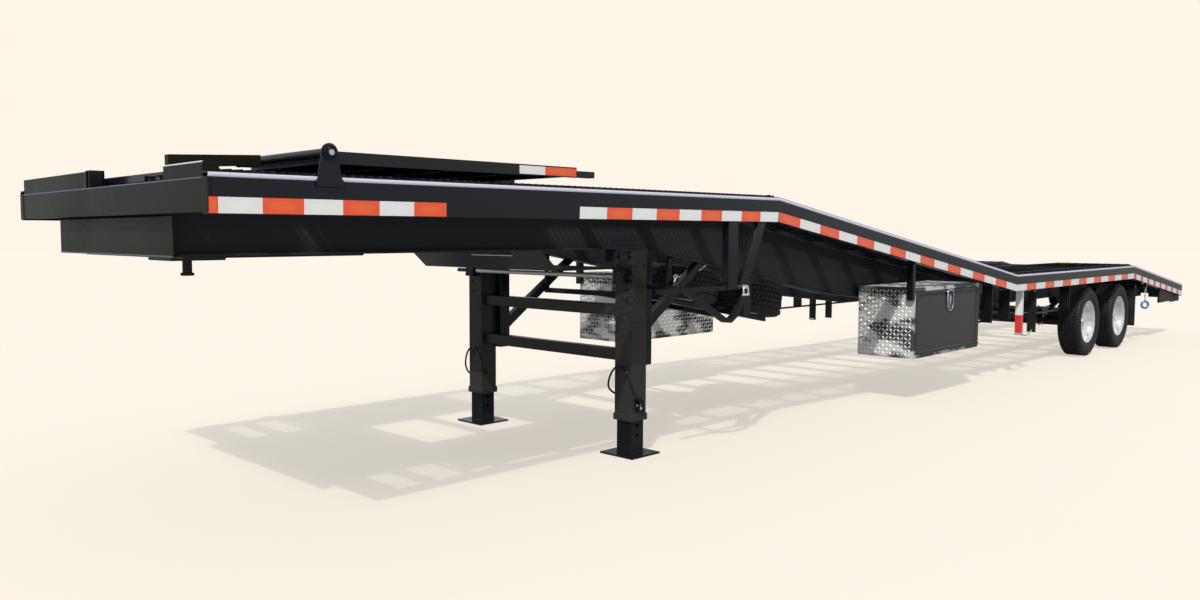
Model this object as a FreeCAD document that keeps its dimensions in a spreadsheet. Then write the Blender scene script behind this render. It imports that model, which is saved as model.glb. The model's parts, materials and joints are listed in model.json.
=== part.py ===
import FreeCAD, Part
import math
import os
import re

import Sketcher

# Car hauler semi-trailer on landing legs, in millimetres.
# +Z is up, the trailer's front faces -Y and its left side is +X. The origin
# is on the ground below the middle of the overall box. "Station" below means
# the distance behind the front end of the side rails.

doc = FreeCAD.newDocument("CarHauler")

SIZES = (
    # overall frame and deck line
    ("overall_length", 15240),
    ("overall_width", 2590),
    ("deck_front", 1757),
    ("deck_rear", 1080),
    ("deck_end", 745),
    ("slope_start", 4200),
    ("slope_end", 8680),
    ("tail_start", 12770),
    # side rails: channels with the web outside
    ("rail_height", 175),
    ("rail_flange", 60),
    ("rail_web", 8),
    ("deck_plate", 8),
    # crossmembers and runways
    ("cross_depth", 100),
    ("cross_width", 50),
    ("runway_inner", 400),
    ("runway_gap", 3),
    ("sheet_gap", 2),
    ("curb_thick", 8),
    ("curb_height", 30),
    ("deck_start", 90),
    # main beams
    ("beam_x", 660),
    ("beam_web", 10),
    ("beam_flange", 100),
    ("beam_flange_thick", 12),
    ("beam_start", 70),
    ("beam_front_bottom", 1395),
    ("beam_knee", 3400),
    ("beam_mid", 5800),
    ("beam_mid_bottom", 985),
    ("beam_rear_bottom", 690),
    ("beam_end_bottom", 560),
    ("beam_end_gap", 90),
    # front
    ("front_beam_depth", 70),
    ("front_beam_drop", 22),
    ("front_beam_wall", 6),
    ("front_panel_half", 780),
    ("front_panel_thick", 8),
    ("front_block_height", 85),
    ("front_stop_height", 63),
    # coupler
    ("coupler_half_width", 560),
    ("coupler_front", 160),
    ("coupler_rear", 1150),
    ("coupler_thick", 10),
    ("pad_half", 150),
    ("pad_thick", 25),
    ("kingpin_station", 460),
    ("kingpin_neck", 25.4),
    ("kingpin_head", 35.7),
    ("kingpin_length", 84),
    ("kingpin_head_depth", 16),
    # landing legs
    ("leg_x", 780),
    ("leg_station", 3200),
    ("leg_outer", 152),
    ("leg_wall", 6),
    ("leg_top", 1310),
    ("leg_collar_low", 235),
    ("leg_collar_height", 45),
    ("leg_collar_thick", 7),
    ("leg_inner", 127),
    ("leg_inner_wall", 8),
    ("leg_inner_top", 900),
    ("foot_size", 290),
    ("foot_thick", 12),
    ("pin_hole", 28),
    ("pin_hole_low", 132),
    ("pin_hole_step", 68),
    ("leg_tube", 80),
    ("leg_tube_low", 675),
    ("leg_tube_high", 980),
    ("backing_depth", 100),
    ("backing_low", 600),
    ("brace_low", 800),
    ("brace_size", 60),
    ("brace_top_station", 4040),
    ("shaft_radius", 15),
    ("shaft_height", 1215),
    # wheels
    ("wheel_x", 1100),
    ("axle_front", 11270),
    ("axle_spacing", 1220),
    ("tyre_radius", 419),
    ("tyre_width", 248),
    ("bead_radius", 262),
    ("rim_width", 210),
    ("axle_radius", 64),
    ("drum_radius", 190),
    ("drum_length", 98),
    # toolboxes
    ("box_inner", 720),
    ("box_outer", 1240),
    ("left_box_front", 6450),
    ("left_box_low", 395),
    ("right_box_front", 4800),
    ("right_box_low", 510),
    ("box_length", 1400),
    ("box_height", 630),
    ("box_wall", 3),
    ("door_margin", 35),
    ("door_thick", 22),
    ("door_gap", 5),
    ("hinge_radius", 6),
    ("latch_depth", 9),
    ("latch_width", 90),
    ("latch_height", 170),
    ("latch_drop", 15),
    ("post_width", 50),
    # flip ramps
    ("ramp_pivot_station", 560),
    ("ramp_pivot_height", 1861),
    ("ramp_low_pivot_height", 1806),
    ("ramp_inner", 420),
    ("ramp_outer", 1215),
    ("ramp_length", 1590),
    ("ramp_side", 58),
    ("ramp_plate", 5),
    ("ramp_pin", 22),
    ("bracket_thick", 10),
    ("bracket_half", 62),
    # spare wheels
    ("spare_x", 220),
    ("spare_first", 4260),
    ("spare_second", 5170),
    ("spare_drop", 145),
    ("cradle_beyond", 130),
    ("hanger_plate", 110),
    ("rack_rear", 3860),
    ("rack_height", 1155),
    # running gear
    ("spring_reach", 480),
    ("spring_arch", 110),
    ("hub_radius", 56),
    ("hub_inner", -8),
    ("hub_length", 66),
    ("chamber_radius", 74),
    # rods below the side rails
    ("rod_clear", 50),
    ("rod_end", 10400),
    ("rod_height", 620),
    ("rod_size", 20),
    # marker posts, mud flaps and their bars
    ("post_start", 8940),
    ("post_depth", 55),
    ("post_side", 60),
    ("post_inset", 105),
    ("post_foot", 430),
    ("flap_thick", 8),
    ("flap_inboard", 170),
    ("flap_width", 330),
    ("flap_inset", 35),
    ("board_start", 9340),
    ("board_width", 90),
    ("rear_flap_behind", 90),
    ("rear_flap_foot", 260),
    ("flap_bar_drop", 270),
    ("flap_bar_height", 40),
    ("flap_bar_depth", 30),
    # tail beam, boxes and lamps
    ("tail_beam_depth", 80),
    ("tail_beam_drop", 28),
    ("tail_beam_lift", 14),
    ("tail_box_start", 420),
    ("tail_box_length", 700),
    ("tail_box_foot", 620),
    ("tail_box_width", 360),
    ("lamp_front", 70),
    ("lamp_back", 12),
    ("lamp_height", 50),
    ("lamp_inset", 420),
    ("lamp_width", 300),
    # brake chambers, as places from the axle
    ("chamber_x", 500),
    ("chamber_length", 130),
    ("chamber_behind", 40),
    ("chamber_rise", 60),
    ("chamber_arm", 12),
)

sheet = doc.addObject("Spreadsheet::Sheet", "Sizes")
for row, (alias, size) in enumerate(SIZES, start=1):
    sheet.set(f"A{row}", alias)
    sheet.set(f"B{row}", str(size))
    sheet.setAlias(f"B{row}", alias)
doc.recompute()

NAMES = {alias for alias, size in SIZES}
nodes = []


def link(text):
    """Turn bare size names into references to the sheet."""
    return re.sub(r"[a-z_]+", lambda m: "Sizes." + m[0] if m[0] in NAMES else m[0], str(text))


def y_at(station):
    """Y of a station."""
    return f"({station}) - overall_length / 2"


SLOPE = "atan((deck_front - deck_rear) / (slope_end - slope_start))"
TAIL = "atan((deck_rear - deck_end) / (overall_length - tail_start))"
RUN = {"front": "0", "slope": SLOPE, "rear": "0", "tail": TAIL}


def deck_line(depth, start="0", end="overall_length"):
    """Points (station, z) of the deck line, the given depth square below it."""
    return [
        (start, f"deck_front - ({depth})"),
        (f"slope_start - ({depth}) * tan({SLOPE} / 2)", f"deck_front - ({depth})"),
        (f"slope_end - ({depth}) * tan({SLOPE} / 2)", f"deck_rear - ({depth})"),
        (f"tail_start - ({depth}) * tan({TAIL} / 2)", f"deck_rear - ({depth})"),
        (end, f"deck_rear - (({end}) - tail_start) * tan({TAIL}) - ({depth}) / cos({TAIL})"),
    ]


def deck_band(top, bottom, start="0", end="overall_length"):
    """Closed outline between two depths below the deck line."""
    return deck_line(top, start, end) + deck_line(bottom, start, end)[::-1]


def beam_bottom(extra="0"):
    """Lower edge of a main beam, as (station, z), raised by extra."""
    return [
        ("beam_start", f"beam_front_bottom + {extra}"),
        ("beam_knee", f"beam_front_bottom + {extra}"),
        ("beam_mid", f"beam_mid_bottom + {extra}"),
        ("slope_end", f"beam_rear_bottom + {extra}"),
        ("tail_start", f"beam_rear_bottom + {extra}"),
        ("overall_length - beam_end_gap", f"beam_end_bottom + {extra}"),
    ]


def beam_under(station):
    """Height of a main beam's lower edge between its knee and its middle."""
    return (f"beam_front_bottom - (({station}) - beam_knee)"
            " * (beam_front_bottom - beam_mid_bottom) / (beam_mid - beam_knee)")


BEAM_TOP = "deck_plate + cross_depth"
BEAM_SLOPE = "atan((beam_front_bottom - beam_mid_bottom) / (beam_mid - beam_knee))"


def plane(body, role):
    return [item for item in body.Origin.OriginFeatures if item.Role == role][0]


def bind(item, prop, text):
    item.setExpression(prop, link(text))


def sketch_on(body, role, offset):
    """A sketch on one of the body's own planes, moved along its normal."""
    sketch = body.newObject("Sketcher::SketchObject", body.Name + "Sketch")
    sketch.AttachmentSupport = [(plane(body, role), "")]
    sketch.MapMode = "FlatFace"
    bind(sketch, "AttachmentOffset.Base.z", offset)
    return sketch


def pin_point(sketch, geometry, where, number, across, up):
    """Hold one point of a sketch by two bound distances from the origin."""
    for kind, text in (("DistanceX", across), ("DistanceY", up)):
        index = sketch.addConstraint(Sketcher.Constraint(kind, -1, 1, geometry, where, 1.0))
        name = f"{kind[-1].lower()}{number}"
        sketch.renameConstraint(index, name)
        bind(sketch, "Constraints." + name, text)


def polygon(body, role, offset, points):
    """Sketch of a closed polygon whose corners are bound to the sheet."""
    sketch = sketch_on(body, role, offset)
    count = len(points)
    ring = [FreeCAD.Vector(math.cos(2 * math.pi * i / count), math.sin(2 * math.pi * i / count), 0)
            for i in range(count)]
    for i in range(count):
        sketch.addGeometry(Part.LineSegment(ring[i], ring[(i + 1) % count]), False)
    for i in range(count):
        sketch.addConstraint(Sketcher.Constraint("Coincident", i, 2, (i + 1) % count, 1))
    for i, (across, up) in enumerate(points):
        pin_point(sketch, i, 1, i, across, up)
    return sketch


def circle(body, role, offset, centre, radius):
    """Sketch of one circle bound to the sheet."""
    sketch = sketch_on(body, role, offset)
    sketch.addGeometry(Part.Circle(FreeCAD.Vector(1, 1, 0), FreeCAD.Vector(0, 0, 1), 1), False)
    pin_point(sketch, 0, 3, 0, centre[0], centre[1])
    index = sketch.addConstraint(Sketcher.Constraint("Radius", 0, 1.0))
    sketch.renameConstraint(index, "radius")
    bind(sketch, "Constraints.radius", radius)
    return sketch


def new_body(name):
    body = doc.addObject("PartDesign::Body", name)
    body.Label = name
    return body


def pad(body, sketch, length):
    feature = body.newObject("PartDesign::Pad", body.Name + "Pad")
    feature.Profile = sketch
    bind(feature, "Length", length)
    return feature


def pocket(body, sketch, length, forward=True):
    feature = body.newObject("PartDesign::Pocket", body.Name + "Pocket")
    feature.Profile = sketch
    feature.Reversed = forward
    bind(feature, "Length", length)
    return feature


def stations(points):
    """Change (station, z) points to (y, z) points."""
    return [(y_at(station), up) for station, up in points]


def side_slab(name, points, x_from, width):
    """Body padded along X from a side outline of (station, z) points."""
    body = new_body(name)
    pad(body, polygon(body, "YZ_Plane", x_from, stations(points)), width)
    return body


def mirrored(source, name):
    """The same piece on the other side of the trailer."""
    copy = doc.addObject("Part::Mirroring", name)
    copy.Source = source
    copy.Normal = (1, 0, 0)
    copy.Label = name
    return copy


def box(name, start, size):
    """Part box with its low corner at start, in (x, station, z) texts."""
    item = doc.addObject("Part::Box", name)
    for prop, text in zip(("Length", "Width", "Height"), size):
        bind(item, prop, text)
    bind(item, "Placement.Base.x", start[0])
    bind(item, "Placement.Base.y", y_at(start[1]))
    bind(item, "Placement.Base.z", start[2])
    return item


def place(item, x, station, z):
    bind(item, "Placement.Base.x", x)
    bind(item, "Placement.Base.y", y_at(station))
    bind(item, "Placement.Base.z", z)
    return item


def turned(item, axis, angle):
    item.Placement = FreeCAD.Placement(FreeCAD.Vector(), FreeCAD.Rotation(FreeCAD.Vector(*axis), 1))
    bind(item, "Placement.Rotation.Angle", angle)
    return item


def cylinder_x(name, start, radius, length):
    """Cylinder along +X from start, in (x, station, z) texts."""
    item = doc.addObject("Part::Cylinder", name)
    turned(item, (0, 1, 0), "90")
    bind(item, "Radius", radius)
    bind(item, "Height", length)
    bind(item, "Placement.Base.x", start[0])
    bind(item, "Placement.Base.y", y_at(start[1]))
    bind(item, "Placement.Base.z", start[2])
    return item


def cut(name, base, tool):
    item = doc.addObject("Part::Cut", name)
    item.Base = base
    item.Tool = tool
    item.Label = name
    return item


def fuse(name, items):
    item = doc.addObject("Part::MultiFuse", name)
    item.Shapes = items
    item.Refine = True
    item.Label = name
    return item


def group(name, items):
    """Pieces of one node that don't touch each other."""
    item = doc.addObject("Part::Compound", name)
    item.Links = items
    item.Label = name
    return item


def keep(item, name):
    item.Label = name
    nodes.append(item)
    return item


def both_sides(name, source):
    keep(group(name, [source, mirrored(source, name + "_other")]), name)


# ---------------------------------------------------------------- side rails
rail = side_slab("rail", deck_band("0", "rail_height"), "overall_width / 2 - rail_flange",
                 "rail_flange")
inside = polygon(rail, "YZ_Plane", "overall_width / 2 - rail_flange",
                 stations(deck_band("deck_plate", "rail_height - deck_plate")))
pocket(rail, inside, "rail_flange - rail_web")
keep(group("side_rail_left", [rail]), "side_rail_left")
keep(mirrored(rail, "side_rail_right"), "side_rail_right")

# ---------------------------------------------------------------- main beams
beam = side_slab(
    "beam",
    deck_line(BEAM_TOP, "beam_start", "overall_length - beam_end_gap") + beam_bottom()[::-1],
    "beam_x - beam_web / 2", "beam_web")
pad(beam, polygon(beam, "YZ_Plane", "beam_x - beam_flange / 2", stations(
    beam_bottom() + beam_bottom("beam_flange_thick")[::-1])), "beam_flange")
pad(beam, polygon(beam, "YZ_Plane", "beam_x - beam_flange / 2", stations(
    deck_band(BEAM_TOP, BEAM_TOP + " + beam_flange_thick", "beam_start",
              "overall_length - beam_end_gap"))), "beam_flange")
keep(group("main_beam_left", [beam]), "main_beam_left")
keep(mirrored(beam, "main_beam_right"), "main_beam_right")

# -------------------------------------------------------------- crossmembers
# run, first station, its deck height, last station, its deck height, count
CROSS_RUNS = (
    ("front", "deck_start", "deck_front", "slope_start", "deck_front", 7),
    ("slope", "slope_start", "deck_front", "slope_end", "deck_rear", 8),
    ("rear", "slope_end", "deck_rear", "tail_start", "deck_rear", 7),
    ("tail", "tail_start", "deck_rear", "overall_length - beam_end_gap",
     "deck_rear - (overall_length - beam_end_gap - tail_start) * tan(" + TAIL + ")", 4),
)
members = []
for run, first, first_z, last, last_z, count in CROSS_RUNS:
    angle = RUN[run]
    for i in range(count):
        share = (i + 0.5) / count
        station = f"({first}) + (({last}) - ({first})) * {share}"
        height = f"({first_z}) + (({last_z}) - ({first_z})) * {share}"
        piece = turned(box(f"cross_{run}_{i}", ("0", "0", "0"), (
            "overall_width - 2 * rail_web", "cross_width", "cross_depth")), (1, 0, 0),
            f"-1 * {angle}")
        low = "(deck_plate + cross_depth)"
        bind(piece, "Placement.Base.x", "rail_web - overall_width / 2")
        bind(piece, "Placement.Base.y", y_at(
            f"{station} - {low} * sin({angle}) - cross_width / 2 * cos({angle})"))
        bind(piece, "Placement.Base.z",
             f"{height} - {low} * cos({angle}) + cross_width / 2 * sin({angle})")
        members.append(piece)
keep(group("crossmembers", members), "crossmembers")

# ------------------------------------------------------------------ runways
# Each runway is one sheet to each straight run of the deck, with a small gap at the bends.
sheet_tops = deck_line("0", "deck_start", "overall_length - beam_end_gap")
sheet_feet = deck_line("deck_plate", "deck_start", "overall_length - beam_end_gap")
runway_sheets = []
for i, run in enumerate(RUN):
    corners = [(f"{sheet_tops[k][0]} {sign} sheet_gap * cos({RUN[run]})",
                f"{sheet_tops[k][1]} {drop} sheet_gap * sin({RUN[run]})")
               for k, sign, drop in ((i, "+", "-"), (i + 1, "-", "+"))]
    feet = [(f"{sheet_feet[k][0]} {sign} sheet_gap * cos({RUN[run]})",
             f"{sheet_feet[k][1]} {drop} sheet_gap * sin({RUN[run]})")
            for k, sign, drop in ((i + 1, "-", "+"), (i, "+", "-"))]
    runway_sheets.append(side_slab(
        f"runway_sheet_{run}", corners + feet, "runway_inner",
        "overall_width / 2 - rail_flange - runway_gap - runway_inner"))
keep(group("runway_left", runway_sheets), "runway_left")
keep(group("runway_right", [mirrored(s, s.Name + "_other") for s in runway_sheets]),
     "runway_right")
curb = side_slab("curb", deck_band("deck_plate - curb_height", "deck_plate", "deck_start",
                                   "overall_length - beam_end_gap"),
                 "runway_inner - curb_thick", "curb_thick")
both_sides("runway_curbs", curb)

# -------------------------------------------------------------- front of frame
# Channel across the nose, open to the rear, between the side rails' flanges.
front_low = "deck_front - rail_height + deck_plate"
front_high = "deck_front - front_beam_drop"
front_beam = side_slab("front_cross_beam", [
    ("0", front_low), ("front_beam_depth", front_low),
    ("front_beam_depth", f"{front_low} + front_beam_wall"),
    ("front_beam_wall", f"{front_low} + front_beam_wall"),
    ("front_beam_wall", f"{front_high} - front_beam_wall"),
    ("front_beam_depth", f"{front_high} - front_beam_wall"),
    ("front_beam_depth", front_high), ("0", front_high),
], "rail_web - overall_width / 2", "overall_width - 2 * rail_web")
keep(front_beam, "front_cross_beam")

# Panel that closes the nose between the main beams, with a lip at its foot.
panel = side_slab("front_lower_panel", [
    ("beam_start - front_panel_thick", "beam_front_bottom"),
    ("beam_start + 40", "beam_front_bottom"),
    ("beam_start + 40", "beam_front_bottom + front_panel_thick"),
    ("beam_start", "beam_front_bottom + front_panel_thick"),
    ("beam_start", "deck_front - rail_height"),
    ("beam_start - front_panel_thick", "deck_front - rail_height"),
], "-1 * front_panel_half", "2 * front_panel_half")
panel_notch = polygon(panel, "YZ_Plane", "beam_x - beam_flange / 2 - 1", stations([
    ("beam_start", "beam_front_bottom - 1"), ("beam_start + 41", "beam_front_bottom - 1"),
    ("beam_start + 41", "beam_front_bottom + front_panel_thick + 1"),
    ("beam_start", "beam_front_bottom + front_panel_thick + 1")]))
pocket(panel, panel_notch, "beam_flange + 2")
panel_notch = polygon(panel, "YZ_Plane", "-1 * beam_x - beam_flange / 2 - 1", stations([
    ("beam_start", "beam_front_bottom - 1"), ("beam_start + 41", "beam_front_bottom - 1"),
    ("beam_start + 41", "beam_front_bottom + front_panel_thick + 1"),
    ("beam_start", "beam_front_bottom + front_panel_thick + 1")]))
pocket(panel, panel_notch, "beam_flange + 2")
keep(panel, "front_lower_panel")

# Ramp rests on the nose: a long block on the right, a low stop on the left.
right_block = box("front_block", ("60 - overall_width / 2", "4", front_high),
                  ("1060", "72", "front_block_height"))
left_stop = box("front_stop", ("overall_width / 2 - 460", "4", front_high),
                ("400", "72", "front_stop_height"))

# ------------------------------------------------------------------- coupler
coupler = new_body("coupler")
pad(coupler, polygon(coupler, "XY_Plane", "beam_front_bottom - coupler_thick", [
    ("-1 * coupler_half_width - beam_flange", y_at("coupler_front")),
    ("coupler_half_width + beam_flange", y_at("coupler_front")),
    ("coupler_half_width + beam_flange", y_at("coupler_rear")),
    ("-1 * coupler_half_width - beam_flange", y_at("coupler_rear"))]), "coupler_thick")
pad(coupler, polygon(coupler, "XY_Plane", "beam_front_bottom - coupler_thick - pad_thick", [
    ("-1 * pad_half", y_at("kingpin_station - pad_half")),
    ("pad_half", y_at("kingpin_station - pad_half")),
    ("pad_half", y_at("kingpin_station + pad_half")),
    ("-1 * pad_half", y_at("kingpin_station + pad_half"))]), "pad_thick")
pad_face = "beam_front_bottom - coupler_thick - pad_thick"
pin_low = pad_face + " - kingpin_length"
pad(coupler, circle(coupler, "XY_Plane", pin_low, ("0", y_at("kingpin_station")),
                    "kingpin_neck"), "kingpin_length")
pad(coupler, circle(coupler, "XY_Plane", pin_low, ("0", y_at("kingpin_station")),
                    "kingpin_head"), "kingpin_head_depth")
keep(coupler, "coupler")

# -------------------------------------------------------------- landing legs
def square(cx, cy, size):
    """Corners of a square in plan about (x, station)."""
    return [(f"{cx} - {size}", y_at(f"{cy} - {size}")), (f"{cx} + {size}", y_at(f"{cy} - {size}")),
            (f"{cx} + {size}", y_at(f"{cy} + {size}")), (f"{cx} - {size}", y_at(f"{cy} + {size}"))]


outer = new_body("leg_outer_body")
pad(outer, polygon(outer, "XY_Plane", "leg_collar_low",
                   square("leg_x", "leg_station", "leg_outer / 2")),
    "leg_top - leg_collar_low")
pad(outer, polygon(outer, "XY_Plane", "leg_collar_low",
                   square("leg_x", "leg_station", "(leg_outer / 2 + leg_collar_thick)")),
    "leg_collar_height")
pocket(outer, polygon(outer, "XY_Plane", "leg_collar_low",
                      square("leg_x", "leg_station", "(leg_outer / 2 - leg_wall)")),
       "leg_top - leg_collar_low - leg_wall")

# Head bracket between the leg's top and the main beam.
head = box("leg_head", ("beam_x - beam_flange / 2", "leg_station - leg_outer / 2", "leg_top"),
           ("leg_x + leg_outer / 2 - beam_x + beam_flange / 2", "leg_outer",
            "beam_front_bottom - leg_top"))
both_sides("leg_outer_tubes", fuse("leg_outer", [outer, head]))


def inner_leg(name, side):
    """Telescoping inner leg with its foot, about x = side * leg_x."""
    body = new_body(name)
    centre = f"{side} * leg_x"
    pad(body, polygon(body, "XY_Plane", "foot_thick",
                      square(centre, "leg_station", "leg_inner / 2")),
        "leg_inner_top - foot_thick")
    pocket(body, polygon(body, "XY_Plane", "foot_thick",
                         square(centre, "leg_station", "(leg_inner / 2 - leg_inner_wall)")),
           "leg_inner_top - foot_thick")
    pad(body, polygon(body, "XY_Plane", "0", square(centre, "leg_station", "foot_size / 2")),
        "foot_thick")
    for i in range(8):
        hole = circle(body, "YZ_Plane", f"{centre} - leg_inner / 2 - 1",
                      (y_at("leg_station"), f"pin_hole_low + {i} * pin_hole_step"),
                      "pin_hole / 2")
        pocket(body, hole, "leg_inner + 2")
    keep(body, name)


inner_leg("leg_inner_left", 1)
inner_leg("leg_inner_right", -1)

# Two square tubes between the legs.
cross = [box(f"leg_tube_{name}", ("leg_outer / 2 - leg_x", "leg_station - leg_tube / 2",
                                  f"{height} - leg_tube / 2"),
             ("2 * leg_x - leg_outer", "leg_tube", "leg_tube"))
         for name, height in (("low", "leg_tube_low"), ("high", "leg_tube_high"))]
keep(group("leg_cross_tubes", cross), "leg_cross_tubes")

# Backing channels behind the legs and their braces up to the main beams.
rear_face = "leg_station + leg_outer / 2"
backing_x = "beam_x - 10"
backing = box("backing", (backing_x, rear_face, "backing_low"),
              ("leg_x + 50 - beam_x", "backing_depth", "beam_front_bottom - backing_low"))
brace_foot = f"{rear_face} + backing_depth"
brace = side_slab("brace", [
    (brace_foot, "brace_low - 45"),
    ("brace_top_station + 75", beam_under("brace_top_station + 75")),
    ("brace_top_station", beam_under("brace_top_station")),
    (brace_foot, "brace_low + 45"),
], backing_x, "brace_size")
both_sides("leg_braces", fuse("leg_brace", [backing, brace]))

# Bent pan under the main beams ahead of the legs.
bolster = side_slab("leg_bolster", [
    ("leg_station - 770", "beam_front_bottom"),
    ("leg_station - 620", "beam_front_bottom - 133"),
    ("leg_station + 60", "beam_front_bottom - 133"),
    ("leg_station + 60", "beam_front_bottom - 125"),
    ("leg_station - 616", "beam_front_bottom - 125"),
    ("leg_station - 758", "beam_front_bottom"),
], "5 - leg_x + leg_outer / 2", "2 * leg_x - leg_outer - 10")
keep(bolster, "leg_bolster")

# Crank shaft and the two gear cases on the legs' front faces.
leg_front = "leg_station - leg_outer / 2"
shaft = cylinder_x("shaft", ("-1 * leg_x - 170", leg_front + " - 30", "shaft_height"),
                   "shaft_radius", "2 * leg_x + 270")
cases = [box(f"gear_case_{side}", (f"{side_x} - 45", leg_front + " - 60", "shaft_height - 45"),
             ("90", "60", "90")) for side, side_x in (("left", "leg_x"), ("right", "-1 * leg_x"))]
keep(fuse("crank_shaft", [shaft] + cases), "crank_shaft")

# Bent pull rods that draw the legs' locking pins. Each corner is (side face, step outwards,
# front face, step back, height): a face is 1 or -1 where the corner is placed from it.
ROD = ((1, 0, 0, -10, 350), (1, 30, 0, -10, 350), (1, 36, 1, -24, 440), (1, -24, 1, -28, 590),
       (-1, 16, 1, -28, 575), (-1, -34, 1, -22, 440), (-1, -30, 0, -30, 400), (-1, 0, 0, -30, 400))
ROD_RADIUS = 6.0
ROD_BEND = 22.0


def bent_rod(path):
    """Round rod along straight runs joined by tangent arcs."""
    edges = []
    begin = path[0]
    for before, corner, after in zip(path, path[1:], path[2:]):
        back = (before - corner).normalize()
        ahead = (after - corner).normalize()
        turn = math.pi - back.getAngle(ahead)
        reach = ROD_BEND * math.tan(turn / 2)
        middle = (back + ahead).normalize() * (ROD_BEND / math.cos(turn / 2) - ROD_BEND)
        arc = Part.Arc(corner + back * reach, corner + middle, corner + ahead * reach)
        edges.append(Part.LineSegment(begin, corner + back * reach).toShape())
        edges.append(arc.toShape())
        begin = corner + ahead * reach
    edges.append(Part.LineSegment(begin, path[-1]).toShape())
    ring = Part.Circle(path[0], path[1] - path[0], ROD_RADIUS)
    return Part.Wire(edges).makePipeShell([Part.Wire(ring.toShape())], True, False)


def pull_rod(name, side):
    leg = FreeCAD.Vector(sheet.leg_x * side, sheet.leg_station - sheet.overall_length / 2, 0)
    half = sheet.leg_outer / 2
    path = [leg + FreeCAD.Vector(side * (face * half + out), back - front * half, z)
            for face, out, front, back, z in ROD]
    item = doc.addObject("Part::Feature", name)
    item.Shape = bent_rod(path)
    item.Placement = FreeCAD.Placement()
    return item


keep(group("leg_pull_rods", [pull_rod("pull_rod_left", 1), pull_rod("pull_rod_right", -1)]),
     "leg_pull_rods")

# -------------------------------------------------------------- spare wheels
def ring_profile(body, points):
    """Revolve an (x, radius) outline about the body's X axis."""
    sketch = polygon(body, "XZ_Plane", "0", points)
    feature = body.newObject("PartDesign::Revolution", body.Name + "Turn")
    feature.Profile = sketch
    feature.ReferenceAxis = (sketch, ["H_Axis"])
    feature.Angle = 360
    return feature


# Half-section of a tyre: (share of half width, share from bead to tread).
TYRE = ((-0.80, 0.0), (-0.96, 0.25), (-1.0, 0.52), (-0.97, 0.76), (-0.88, 0.93), (-0.72, 1.0),
        (0.72, 1.0), (0.88, 0.93), (0.97, 0.76), (1.0, 0.52), (0.96, 0.25), (0.80, 0.0))
# Rim outline in mm: x from the wheel's middle plane, outward positive, and radius.
RIM = ((-105, 262), (-105, 250), (-70, 232), (4, 224), (16, 200), (10, 150), (6, 118),
       (6, 52), (16, 52), (16, 116), (24, 150), (30, 190), (44, 226), (96, 240), (105, 262))


def tyre_body(name):
    body = new_body(name)
    ring_profile(body, [(f"{x} * tyre_width / 2",
                         f"bead_radius + 0.5 + {r} * (tyre_radius - bead_radius - 0.5)")
                        for x, r in TYRE])
    return body


def rim_body(name, side):
    body = new_body(name)
    ring_profile(body, [(f"{side * x}", f"{r} * bead_radius / 262") for x, r in RIM])
    for i in range(8):
        angle = 2 * math.pi * i / 8
        hole = circle(body, "YZ_Plane", "0" if side > 0 else "-30",
                      (f"{82 * math.cos(angle)}", f"{82 * math.sin(angle)}"), "9")
        pocket(body, hole, "30")
    return body


def lay_flat(item, station):
    """Lay a spare wheel piece under the beams, along their slope, dish up."""
    turn = FreeCAD.Rotation(FreeCAD.Vector(0, 1, 0), -90)
    angle = math.degrees(math.atan((sheet.beam_front_bottom - sheet.beam_mid_bottom)
                                   / (sheet.beam_mid - sheet.beam_knee)))
    tilt = FreeCAD.Rotation(FreeCAD.Vector(1, 0, 0), -angle)
    item.Placement = FreeCAD.Placement(FreeCAD.Vector(), tilt * turn)
    return place(item, "spare_x", station, f"{beam_under(station)} - spare_drop")


keep(group("spare_tyres", [lay_flat(tyre_body(f"spare_tyre_{i}"), s)
                           for i, s in enumerate(("spare_first", "spare_second"))]),
     "spare_tyres")
keep(group("spare_rims", [lay_flat(rim_body(f"spare_rim_{i}", 1), s)
                          for i, s in enumerate(("spare_first", "spare_second"))]),
     "spare_rims")

# Cradle: two long bars below the tyres, a cross bar ahead of the first tyre and one between
# the two, and hangers from the cross bars' ends to the frame.
cradle_front = "spare_first - tyre_radius - 80"
cradle_middle = "(spare_first + spare_second) / 2"
cradle_rear = "spare_second + cradle_beyond"


def cradle_line(station, drop):
    return f"{beam_under(station)} - spare_drop - tyre_width / 2 / cos({BEAM_SLOPE}) - {drop}"


def cradle_bar(name, x):
    return side_slab(name, [
        (cradle_front, cradle_line(cradle_front, 0)), (cradle_rear, cradle_line(cradle_rear, 0)),
        (cradle_rear, cradle_line(cradle_rear, 46)), (cradle_front, cradle_line(cradle_front, 46))],
        x, "40")


def cradle_cross(name, station, x_from, length):
    return box(name, (x_from, station, cradle_line(station, 46)), (length, "40", "40"))


hang_right = "30 - beam_x"
hang_width = "2 * beam_x - 60"
cradle = fuse("spare_cradle", [
    cradle_bar("cradle_bar_in", "spare_x - 260"), cradle_bar("cradle_bar_out", "spare_x + 220"),
    cradle_cross("cradle_cross_front", cradle_front, hang_right, hang_width),
    cradle_cross("cradle_cross_middle", cradle_middle, hang_right, hang_width),
])
keep(cradle, "spare_cradle")
hangers = []
for name, x, station, depth in (("right_front", "10 - beam_x", cradle_front, "40"),
                                ("left_front", "beam_x - 30", cradle_front, "40"),
                                ("right_middle", "10 - beam_x", cradle_middle, "hanger_plate"),
                                ("left_middle", "beam_x - 30", cradle_middle, "hanger_plate")):
    foot = cradle_line(station, 46)
    rear = f"{station} + {depth}"
    hangers.append(side_slab("hanger_" + name, [
        (station, foot), (rear, foot), (rear, beam_under(rear)),
        (station, beam_under(station))], x, "20"))
keep(group("spare_hangers", hangers), "spare_hangers")

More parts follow.
